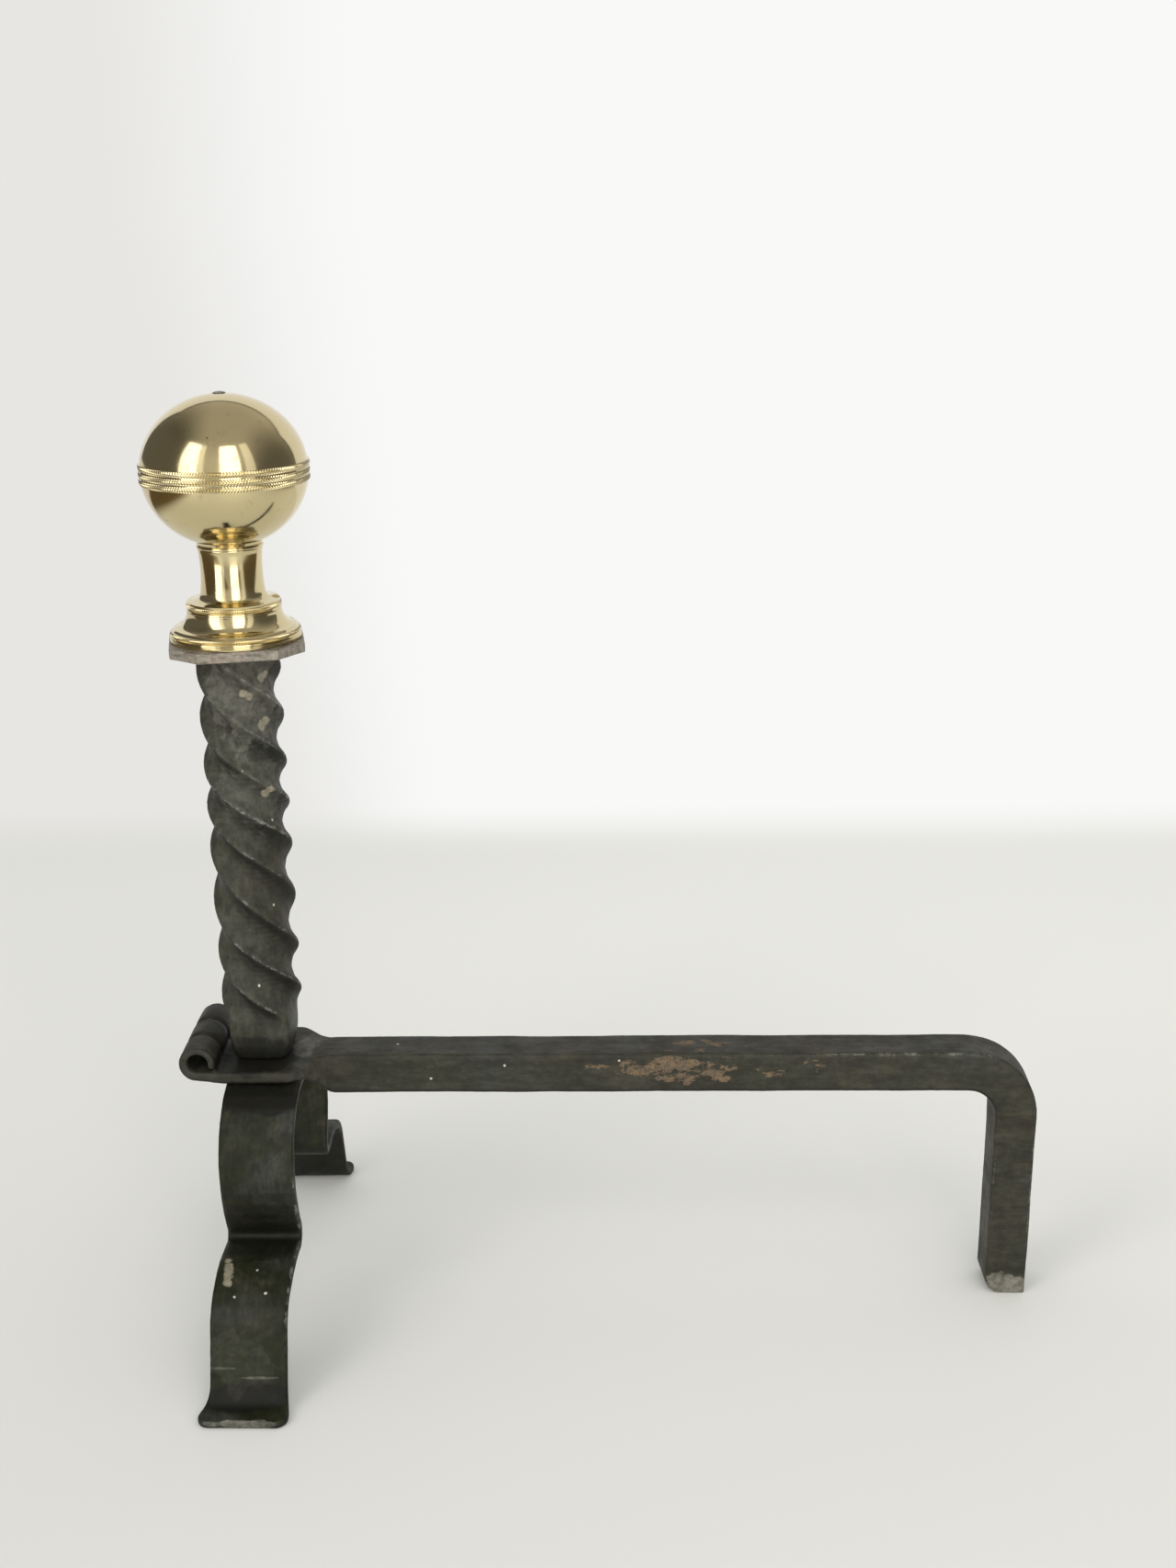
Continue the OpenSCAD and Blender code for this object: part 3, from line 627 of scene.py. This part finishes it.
def new_material(name):
    """An empty material, its node tree, its Principled shader and the object's own coordinates."""
    material = bpy.data.materials.new(name)
    material.use_nodes = True
    tree = material.node_tree
    tree.nodes.clear()
    shader = tree.nodes.new("ShaderNodeBsdfPrincipled")
    output = tree.nodes.new("ShaderNodeOutputMaterial")
    tree.links.new(shader.outputs["BSDF"], output.inputs["Surface"])
    place = tree.nodes.new("ShaderNodeTexCoord").outputs["Object"]
    return material, tree, shader, place


def relief(tree, name):
    """How far the surface stands out of its surroundings in mm, as mark_relief wrote it."""
    return node(tree, "ShaderNodeAttribute", attribute_name=name).outputs["Fac"]


# ---- Materials ----


def iron_film(tree, place, film, grain):
    """Blackened film: patches of blue grey and brown, with faint streaks along the grain."""
    colours = bpy.context.scene.andiron_colours
    blue = spread(tree, noise(tree, place, 34, 4, 0.5, 0.6), 0.5, 0.7, 0, 0.5)
    skin = blend(tree, blue, film, colours.film_blue)
    brown = spread(tree, noise(tree, place, 22, 6, 0.6, 0.4), 0.5, 0.68, 0, 0.7)
    skin = blend(tree, brown, skin, colours.film_brown)
    streak = spread(tree, streaks(tree, place, grain), 0.3, 0.7, 0.72, 1.32)
    skin = blend(tree, 1.0, skin, streak, "MULTIPLY")
    cloud = spread(tree, noise(tree, place, 4, 6, 0.7), 0.3, 0.7, 0.78, 1.22)
    return blend(tree, 1.0, skin, cloud, "MULTIPLY")


def rubbed_edges(tree, place, edge, wear, rubbed):
    """Thin broken lines where hands and pokers have rubbed the edges, wear mm high or more."""
    line = spread(tree, edge, wear, wear + 0.03)
    broken = spread(tree, noise(tree, place, 8, 8, 0.8), 0.47, 0.57, 0, 0.75)
    bright = calc(tree, "MULTIPLY", line, broken)
    if rubbed:
        bright = calc(tree, "MULTIPLY", bright, spots(tree, place, rubbed, 0.8, 9.0))
    return bright


def blackened_iron(name, film, grain, wear, rubbed=(), shaded_places=(), dusty_and_lit=(), limed=(), dripped=(), rusty=()):
    """Wrought iron under a film of black oxide, oil and smoke black, as an old hearth piece has.

    Undersides, hollows and creases are darkened in the soot colour as painted shade, and so are
    the listed places of painted shade. Broken thin lines along some edges are rubbed bright.
    grain is the length of the drawn-out streaks along x, y and z in mm. wear is the height of
    an edge in mm that is rubbed bright. The rest are places in mm: the rubbed places, the places
    of painted shade, those of dust and of painted light, and the rusty places are spots, and
    limed and dripped are the centres of small drops.
    """
    colours = bpy.context.scene.andiron_colours
    material, tree, shader, place = new_material(name)
    edge, ridge = relief(tree, "edge"), relief(tree, "ridge")
    skin = iron_film(tree, place, film, grain)
    fine = noise(tree, place, 1.3, 6, 0.7)

    # Painted shade: the soot colour darkens undersides, hollows and creases, where shade falls, and the
    # listed places of painted shade
    facing = node(tree, "ShaderNodeNewGeometry").outputs["Normal"]
    upward = node(tree, "ShaderNodeSeparateXYZ", {0: facing}).outputs[2]
    under = spread(tree, upward, 0.1, -0.45, 0, 0.75)
    hollow = spread(tree, ridge, -0.1, -0.8, 0, 0.7)
    soot_and_shade = calc(tree, "MAXIMUM", under, hollow)
    soot_and_shade = calc(tree, "MAXIMUM", soot_and_shade, spread(tree, edge, -0.025, -0.1, 0, 0.85))
    if shaded_places:
        painted_shade = calc(tree, "MULTIPLY", spots(tree, place, shaded_places, 0.9, 9.0), 0.85)
        soot_and_shade = calc(tree, "MAXIMUM", soot_and_shade, painted_shade)
    skin = blend(tree, soot_and_shade, skin, colours.soot_and_shade)
    skin = blend(tree, rubbed_edges(tree, place, edge, wear, rubbed), skin, colours.worn)

    # Dust and painted light in the lime colour, drops of limewash and smears of mortar
    if dusty_and_lit:
        speckle = spread(tree, noise(tree, place, 4, 8, 0.7), 0.35, 0.7, 0.5, 1.4)
        dust_and_light = calc(tree, "MULTIPLY", spots(tree, place, dusty_and_lit, 2.2, 9.0), speckle)
        skin = blend(tree, dust_and_light, skin, colours.lime)
    if dripped:
        broken = spread(tree, noise(tree, place, 3, 6, 0.7), 0.35, 0.65, 0.4, 0.7)
        smear = calc(tree, "MULTIPLY", drops(tree, place, dripped, 2.2), broken)
        skin = blend(tree, smear, skin, colours.mortar)
    if limed:
        skin = blend(tree, drops(tree, place, limed, 0.7), skin, colours.lime)

    rough = spread(tree, noise(tree, place, 14, 5, 0.6), 0.35, 0.65, 0.64, 0.46)
    height = calc(tree, "ADD", fine, noise(tree, place, 4, 4, 0.6))
    if rusty:
        mask, rust = rust_flakes(tree, place, rusty)
        skin = blend(tree, mask, skin, rust)
        rough = calc(tree, "MULTIPLY_ADD", mask, 0.3, rough)
        height = calc(tree, "MULTIPLY_ADD", mask, 1.2, height)
    bump = node(tree, "ShaderNodeBump", {"Height": height, "Distance": 0.1 * MM, "Strength": 0.8})
    tree.links.new(skin, shader.inputs["Base Color"])
    tree.links.new(rough, shader.inputs["Roughness"])
    tree.links.new(bump.outputs["Normal"], shader.inputs["Normal"])
    shader.inputs["Specular IOR Level"].default_value = 0.22
    return material


def rust_flakes(tree, place, rusty):
    """Flakes of dry rust, whole in the middle of each rusty place and scattered round it."""
    colours = bpy.context.scene.andiron_colours
    flakes = streaks(tree, place, (11, 6, 5), 10, 0.7)
    flake = calc(tree, "ADD", flakes, spots(tree, place, rusty, 1.4, 12.0))
    mask = spread(tree, flake, 0.68, 0.71)
    crumbs = spread(tree, noise(tree, place, 1.5, 6, 0.8), 0.36, 0.52, 0.25, 0.85)
    tone = spread(tree, noise(tree, place, 4, 7, 0.7), 0.42, 0.6)
    return calc(tree, "MULTIPLY", mask, crumbs), blend(tree, tone, colours.rust, colours.rust_ochre)


def bare_iron(name):
    """Bar iron rubbed bare of its film: dull warm grey, mottled, brown in pits and seams."""
    colours = bpy.context.scene.andiron_colours
    material, tree, shader, place = new_material(name)
    bloom = spread(tree, noise(tree, place, 9, 6, 0.6), 0.4, 0.6)
    skin = blend(tree, bloom, colours.bare_iron, colours.bare_pink)
    clouds = spread(tree, noise(tree, place, 2.6, 6, 0.7), 0.3, 0.7, 0.65, 1.25)
    skin = blend(tree, 1.0, skin, clouds, "MULTIPLY")
    seams = spread(tree, streaks(tree, place, (9, 9, 1.8)), 0.5, 0.36, 0, 0.55)
    skin = blend(tree, seams, skin, colours.film_brown)
    hollow = spread(tree, relief(tree, "edge"), -0.03, -0.15, 0, 0.8)
    skin = blend(tree, hollow, skin, colours.soot_and_shade)
    bump = node(tree, "ShaderNodeBump", {"Height": noise(tree, place, 1.2, 6, 0.7), "Distance": 0.2 * MM})
    tree.links.new(skin, shader.inputs["Base Color"])
    tree.links.new(bump.outputs["Normal"], shader.inputs["Normal"])
    shader.inputs["Metallic"].default_value = 0.3
    shader.inputs["Roughness"].default_value = 0.5
    return material


def filed_iron(name):
    """The end of the rod, filed flush and bright: smooth grey iron, with a soft sheen."""
    colours = bpy.context.scene.andiron_colours
    material, tree, shader, place = new_material(name)
    stain = spread(tree, noise(tree, place, 3, 4, 0.6), 0.4, 0.7, 0, 0.6)
    skin = blend(tree, stain, colours.bare_iron, colours.film_brown)
    tree.links.new(skin, shader.inputs["Base Color"])
    shader.inputs["Metallic"].default_value = 0.8
    shader.inputs["Roughness"].default_value = 0.35
    return material


def polished_brass(name):
    """Cast brass, turned and hand polished: pale gold, with a soft mirror.

    Fine turning rings and rubbing blur it a little, brown tarnish stays in the grooves,
    and a few stains and pinholes are left from the casting.
    """
    colours = bpy.context.scene.andiron_colours
    material, tree, shader, place = new_material(name)
    centred = node(tree, "ShaderNodeMapping", {"Vector": place, "Location": -AXIS}).outputs[0]
    rings = streaks(tree, centred, (30, 30, 0.35), 3, 0.5)
    wipes = noise(tree, place, 17, 5, 0.5, 0.8)
    stain = spread(tree, noise(tree, place, 9, 8, 0.65), 0.6, 0.75, 0, 0.45)
    groove = spread(tree, relief(tree, "edge"), -0.25, -1.1, 0, 0.8)
    cells = node(tree, "ShaderNodeTexVoronoi", {"Vector": place, "Scale": every(6)})
    chance = node(tree, "ShaderNodeSeparateColor", {"Color": cells.outputs["Color"]}).outputs[0]
    hole_r = spread(tree, chance, 0.88, 1.0, 0.0, 0.07)
    hole = calc(tree, "LESS_THAN", cells.outputs["Distance"], hole_r)
    dull = calc(tree, "MAXIMUM", calc(tree, "MAXIMUM", stain, groove), hole)
    skin = blend(tree, dull, colours.brass, colours.brass_brown)
    blur = spread(tree, wipes, 0.35, 0.7, 0.09, 0.145)
    blur = calc(tree, "MULTIPLY_ADD", dull, 0.25, blur)
    swell = node(tree, "ShaderNodeBump", {"Height": wipes, "Distance": 0.1 * MM, "Strength": 0.25})
    inputs = {"Height": rings, "Distance": 0.003 * MM, "Strength": 0.5, "Normal": swell.outputs["Normal"]}
    bump = node(tree, "ShaderNodeBump", inputs)
    tree.links.new(skin, shader.inputs["Base Color"])
    tree.links.new(blur, shader.inputs["Roughness"])
    tree.links.new(bump.outputs["Normal"], shader.inputs["Normal"])
    shader.inputs["Metallic"].default_value = 1.0
    return material


# ---- Operators ----


class ANDIRON_OT_bar(bpy.types.Operator):
    """Forge the bar with its scroll, pad and rear leg"""

    bl_idname = "andiron.bar"
    bl_label = "Billet bar"

    def execute(self, context):
        bar = forged("forged_bar", "billet_bar", grid=0.71 * MM, smooth_passes=3)
        work_surface(bar, share=0.7)
        iron = blackened_iron(
            "Blackened wrought iron, bar", context.scene.andiron_colours.film_bar,
            grain=(18, 3, 4), wear=0.14, rubbed=BAR_RUBBED, shaded_places=BAR_SHADE, dusty_and_lit=BAR_DUST_AND_LIGHT, limed=BAR_LIME,
            rusty=BAR_RUST,
        )
        finish_piece(bar, "billet_bar", iron, fine=8, broad=120, sharp_angle=60)
        return {"FINISHED"}


class ANDIRON_OT_legs(bpy.types.Operator):
    """Forge the bent strip of the two front legs"""

    bl_idname = "andiron.legs"
    bl_label = "Front legs"

    def execute(self, context):
        legs = forged("forged_legs", "front_legs", grid=0.63 * MM, smooth_passes=4)
        work_surface(legs, share=0.7)
        lobe_toes(legs)
        iron = blackened_iron(
            "Blackened wrought iron, strip", context.scene.andiron_colours.film_strip,
            grain=(2.2, 7, 7), wear=0.125, rubbed=LEG_RUBBED, shaded_places=LEG_SHADE, dusty_and_lit=LEG_DUST, limed=LEG_LIME,
            dripped=LEG_DRIP,
        )
        finish_piece(legs, "front_legs", iron, fine=8, broad=120, sharp_angle=60)
        return {"FINISHED"}


class ANDIRON_OT_post(bpy.types.Operator):
    """Twist the post"""

    bl_idname = "andiron.post"
    bl_label = "Twisted post"

    def execute(self, context):
        post = forged("twisted_iron_post", "twisted_post", grid=0.62 * MM, smooth_passes=11)
        work_surface(post, share=0.6)
        iron = blackened_iron(
            "Blackened wrought iron, post", context.scene.andiron_colours.film_post,
            grain=(4, 4, 8), wear=0.13, shaded_places=POST_SHADE, dusty_and_lit=POST_LIGHT, limed=POST_LIME,
            dripped=POST_MORTAR,
        )
        finish_piece(post, "twisted_post", iron, fine=8, broad=160, sharp_angle=60)
        return {"FINISHED"}


class ANDIRON_OT_rod(bpy.types.Operator):
    """Finish the tie rod, whose end is filed flush with the ball"""

    bl_idname = "andiron.rod"
    bl_label = "Tie rod"

    def execute(self, context):
        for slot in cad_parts["tie_rod"].material_slots:
            slot.material = filed_iron("Filed iron")
        return {"FINISHED"}


class ANDIRON_OT_plate(bpy.types.Operator):
    """Cut the cap plate from bar iron"""

    bl_idname = "andiron.plate"
    bl_label = "Cap plate"

    def execute(self, context):
        plate = forged("cut_cap_plate", "cap_plate", grid=0.34 * MM, smooth_passes=3)
        work_surface(plate, share=0.6)
        iron = bare_iron("Bare wrought iron")
        finish_piece(plate, "cap_plate", iron, fine=20, broad=60, sharp_angle=60)
        return {"FINISHED"}


class ANDIRON_OT_base(bpy.types.Operator):
    """Turn the brass base and mill its two rows of beads"""

    bl_idname = "andiron.base"
    bl_label = "Brass base"

    def execute(self, context):
        depth = context.scene.andiron_sizes.bead_depth
        base = turned("turned_brass_base", base_section(), PLATE_TOP)

        # Beads of the rim and of the disc: low, high and least radius in mm, and columns to a bead
        for low, high, least_r, pitch in ((3.0, 4.4, 27.0, 3), (14.5, 16.0, 19.8, 4)):
            mill(base, PLATE_TOP + low * MM, PLATE_TOP + high * MM, least_r * MM, pitch, depth)
        nudge(base, *CASTING_NUB)
        nudge(base, *CASTING_NICK)
        finish_brass(base, "finial_base")
        return {"FINISHED"}


class ANDIRON_OT_ball(bpy.types.Operator):
    """Turn the two halves of the ball and mill the three rows of its band"""

    bl_idname = "andiron.ball"
    bl_label = "Brass ball"

    def execute(self, context):
        depth = context.scene.andiron_sizes.tooth_depth
        half, row_h, _ = band_heights()
        lower = turned("brass_ball_lower", lower_ball_section(), ball_centre())
        upper = turned("brass_ball_upper", upper_ball_section(), ball_centre())

        # The notches stop short of each row's edges, and leave the ball's inside alone
        trim, least_r = 0.12, (BAND_R - 0.6) * MM
        for piece, low, slant in ((lower, -half, -2), (lower, -row_h / 2, -2), (upper, half - row_h, 1)):
            bottom = ball_centre() + (low + trim) * MM
            top = ball_centre() + (low + row_h - trim) * MM
            mill(piece, bottom, top, least_r, 3, depth, slant)
        finish_brass(lower, "ball_lower")
        finish_brass(upper, "ball_upper")
        return {"FINISHED"}


def finish_brass(piece, node):
    """Finishes a turned piece in the one brass material, made the first time it is needed."""
    name = "Polished cast brass"
    brass = bpy.data.materials.get(name) or polished_brass(name)
    finish_piece(piece, node, brass, fine=6, broad=12, sharp_angle=34)


class ANDIRON_OT_stage(bpy.types.Operator):
    """Lay the pale floor, hang the lights and stand the camera"""

    bl_idname = "andiron.stage"
    bl_label = "Stage"

    def execute(self, context):
        scene = context.scene
        lay_floor()
        light_room(scene)
        window("window_left", azimuth=-39, wide=26, radiance=2.7)
        window("window_left_dim", azimuth=-21, wide=8, radiance=0.8)
        window("window_right", azimuth=20, wide=28, radiance=2.5)
        window("window_right_dim", azimuth=48, wide=14, radiance=0.7)
        stand_camera(scene)
        scene.view_settings.view_transform = "Standard"
        return {"FINISHED"}


# ---- Stage ----


def lay_floor():
    """A pale board. Past its edges the floor shines like the backdrop, so that they don't show."""
    bpy.ops.object.select_all(action="DESELECT")
    bpy.ops.mesh.primitive_plane_add(size=40, location=(0, 0, 0))
    floor = bpy.context.object
    floor.name = "floor"
    colours = bpy.context.scene.andiron_colours
    material, tree, shader, place = new_material("Painted board")
    axes = node(tree, "ShaderNodeSeparateXYZ", {"Vector": place})
    x, y = axes.outputs[0], axes.outputs[1]
    # Painted shade and light on the board: darker to the left and towards the front, lighter towards the
    # back
    shade = spread(tree, x, -0.45, 0.35, 0.93, 1.03)
    shade = calc(tree, "MULTIPLY", shade, spread(tree, y, -0.3, 0.5, 0.9, 1.14))
    paint = blend(tree, 1.0, colours.floor, shade, "MULTIPLY")

    # Polished brass mirrors the room's brown floor at the sides instead
    beside = calc(tree, "MAXIMUM", spread(tree, x, -0.62, -0.88), spread(tree, x, 0.72, 0.9))
    glossy = node(tree, "ShaderNodeLightPath").outputs["Is Glossy Ray"]
    paint = blend(tree, calc(tree, "MULTIPLY", beside, glossy), paint, colours.room_floor)
    tree.links.new(paint, shader.inputs["Base Color"])
    shader.inputs["Roughness"].default_value = 0.6
    shader.inputs["Specular IOR Level"].default_value = 0.2
    wall = node(tree, "ShaderNodeEmission", {"Color": shaded_backdrop(tree, x, calc(tree, "ADD", y, 0.4))})
    aside = spread(tree, calc(tree, "ABSOLUTE", x), 0.7, 1.0)
    around = calc(tree, "MAXIMUM", aside, spread(tree, y, -0.6, -0.9))
    around = calc(tree, "MULTIPLY", around, calc(tree, "SUBTRACT", 1.0, glossy))
    beyond = calc(tree, "MAXIMUM", around, spread(tree, y, 0.6, 0.73))
    both = node(tree, "ShaderNodeMixShader", {0: beyond, 1: shader.outputs[0], 2: wall.outputs[0]})
    output = next(made for made in tree.nodes if made.type == "OUTPUT_MATERIAL")
    tree.links.new(both.outputs[0], output.inputs["Surface"])
    floor.data.materials.append(material)


def shaded_backdrop(tree, x, y):
    """The pale backdrop, a little shaded to the left behind the object."""
    colours = bpy.context.scene.andiron_colours
    bearing = calc(tree, "DIVIDE", x, calc(tree, "MAXIMUM", y, 0.1))
    shade = calc(tree, "MULTIPLY", spread(tree, bearing, -0.12, -0.28), spread(tree, y, 0.1, 0.6))
    return blend(tree, shade, colours.backdrop, colours.backdrop_left)


def light_room(scene):
    """A pale surround. Polished metal also mirrors the dim room in front of the object."""
    world = bpy.data.worlds.new("room")
    scene.world = world
    world.use_nodes = True
    tree = world.node_tree
    tree.nodes.clear()
    colours = scene.andiron_colours
    look = node(tree, "ShaderNodeTexCoord").outputs["Generated"]
    axes = node(tree, "ShaderNodeSeparateXYZ", {"Vector": look})
    x, y, z = axes.outputs[0], axes.outputs[1], axes.outputs[2]

    # The pale wall fills the view back, up to 44 degrees, from 40 degrees left to 53 right
    left = calc(tree, "MULTIPLY", x, -1.0)
    within = 1.0
    for side, angle in ((z, 44), (x, 53), (left, 40)):
        reach = calc(tree, "MULTIPLY", y, math.tan(math.radians(angle)))
        within = calc(tree, "MINIMUM", within, calc(tree, "SUBTRACT", reach, side))
    wall = spread(tree, within, -0.02, 0.04)
    corner = spread(tree, within, -0.1, -0.04, 1.0, 0.35)

    # The room is dark at the sides, lighter between the windows and dimmer to the ceiling
    aside = calc(tree, "ABSOLUTE", calc(tree, "SUBTRACT", x, 0.12))
    middle = spread(tree, aside, 0.85, 0.25, 0.14, 0.68)
    above = spread(tree, z, 0.45, 0.95, 1.0, 0.72)
    room = calc(tree, "MULTIPLY", calc(tree, "MULTIPLY", middle, above), corner)
    room = blend(tree, 1.0, colours.room, room, "MULTIPLY")
    mirrored = blend(tree, wall, room, colours.backdrop)

    ray = node(tree, "ShaderNodeLightPath")
    strength = calc(tree, "MAXIMUM", ray.outputs["Is Camera Ray"], ray.outputs["Is Glossy Ray"])
    strength = calc(tree, "MAXIMUM", strength, 0.8)
    colour_seen = blend(tree, ray.outputs["Is Glossy Ray"], shaded_backdrop(tree, x, y), mirrored)
    background = node(tree, "ShaderNodeBackground", {"Color": colour_seen, "Strength": strength})
    output = tree.nodes.new("ShaderNodeOutputWorld")
    tree.links.new(background.outputs[0], output.inputs["Surface"])


def window(name, azimuth, wide, radiance):
    """A tall soft light that stands in front, its azimuth and width in degrees from the ball.

    The azimuth is counted from straight in front, and is positive to the right.
    """
    distance, bottom, top = 1.2, 0.01, 1.75
    turn = math.radians(azimuth)
    back = Vector((math.sin(turn), -math.cos(turn), 0))
    light = bpy.data.lights.new(name, "AREA")
    light.shape = "RECTANGLE"
    light.size = 2 * distance * math.tan(math.radians(wide / 2))
    light.size_y = top - bottom
    light.energy = radiance * math.pi * light.size * light.size_y
    light.color = (1.0, 0.99, 0.96)
    holder = bpy.data.objects.new(name, light)
    bpy.context.scene.collection.objects.link(holder)
    holder.location = Vector((AXIS_X, 0, (bottom + top) / 2)) + back * distance
    holder.rotation_mode = "QUATERNION"
    holder.rotation_quaternion = back.to_track_quat("Z", "Y")
    holder.visible_camera = False


def stand_camera(scene):
    """The photograph's camera: its focal length is in pixels of the 1280 x 1707 picture."""
    focal_px, long_side_px, film = 1989.6, 1707, 36.0
    pitch, yaw, roll = (math.radians(a) for a in (18.142, -0.924, 0.627))
    stands_at = Vector((0.0025, -0.7736, 0.5097))
    data = bpy.data.cameras.new("camera")
    data.sensor_width = film
    data.lens = focal_px / long_side_px * film
    camera = bpy.data.objects.new("camera", data)
    scene.collection.objects.link(camera)
    turn = (
        Matrix.Rotation(-yaw, 4, "Z")
        @ Matrix.Rotation(math.pi / 2 - pitch, 4, "X")
        @ Matrix.Rotation(-roll, 4, "Z")
    )
    camera.matrix_world = Matrix.Translation(stands_at) @ turn
    scene.camera = camera


# ---- Panel and registration ----


class ANDIRON_PT_panel(bpy.types.Panel):
    """Lists the andiron's pieces in the sidebar"""

    bl_label = "Andiron"
    bl_idname = "ANDIRON_PT_panel"
    bl_space_type = "VIEW_3D"
    bl_region_type = "UI"
    bl_category = "Andiron"

    def draw(self, context):
        for made in OPERATORS:
            self.layout.operator(made.bl_idname)
        for group in (context.scene.andiron_sizes, context.scene.andiron_colours):
            for key in group.__annotations__:
                self.layout.prop(group, key)


OPERATORS = (
    ANDIRON_OT_bar,
    ANDIRON_OT_legs,
    ANDIRON_OT_post,
    ANDIRON_OT_rod,
    ANDIRON_OT_plate,
    ANDIRON_OT_base,
    ANDIRON_OT_ball,
    ANDIRON_OT_stage,
)
CLASSES = (AndironSizes, AndironColours, *OPERATORS, ANDIRON_PT_panel)


def register():
    """Registers the classes and hangs their properties on the scene."""
    for made in CLASSES:
        bpy.utils.register_class(made)
    bpy.types.Scene.andiron_sizes = bpy.props.PointerProperty(type=AndironSizes)
    bpy.types.Scene.andiron_colours = bpy.props.PointerProperty(type=AndironColours)


def unregister():
    """Takes the properties and classes away again."""
    del bpy.types.Scene.andiron_colours
    del bpy.types.Scene.andiron_sizes
    for made in reversed(CLASSES):
        bpy.utils.unregister_class(made)


def main():
    """Makes every piece and the stage."""
    register()
    bpy.ops.andiron.bar()
    bpy.ops.andiron.legs()
    bpy.ops.andiron.post()
    bpy.ops.andiron.rod()
    bpy.ops.andiron.plate()
    bpy.ops.andiron.base()
    bpy.ops.andiron.ball()
    bpy.ops.andiron.stage()


if __name__ == "__main__":
    main()
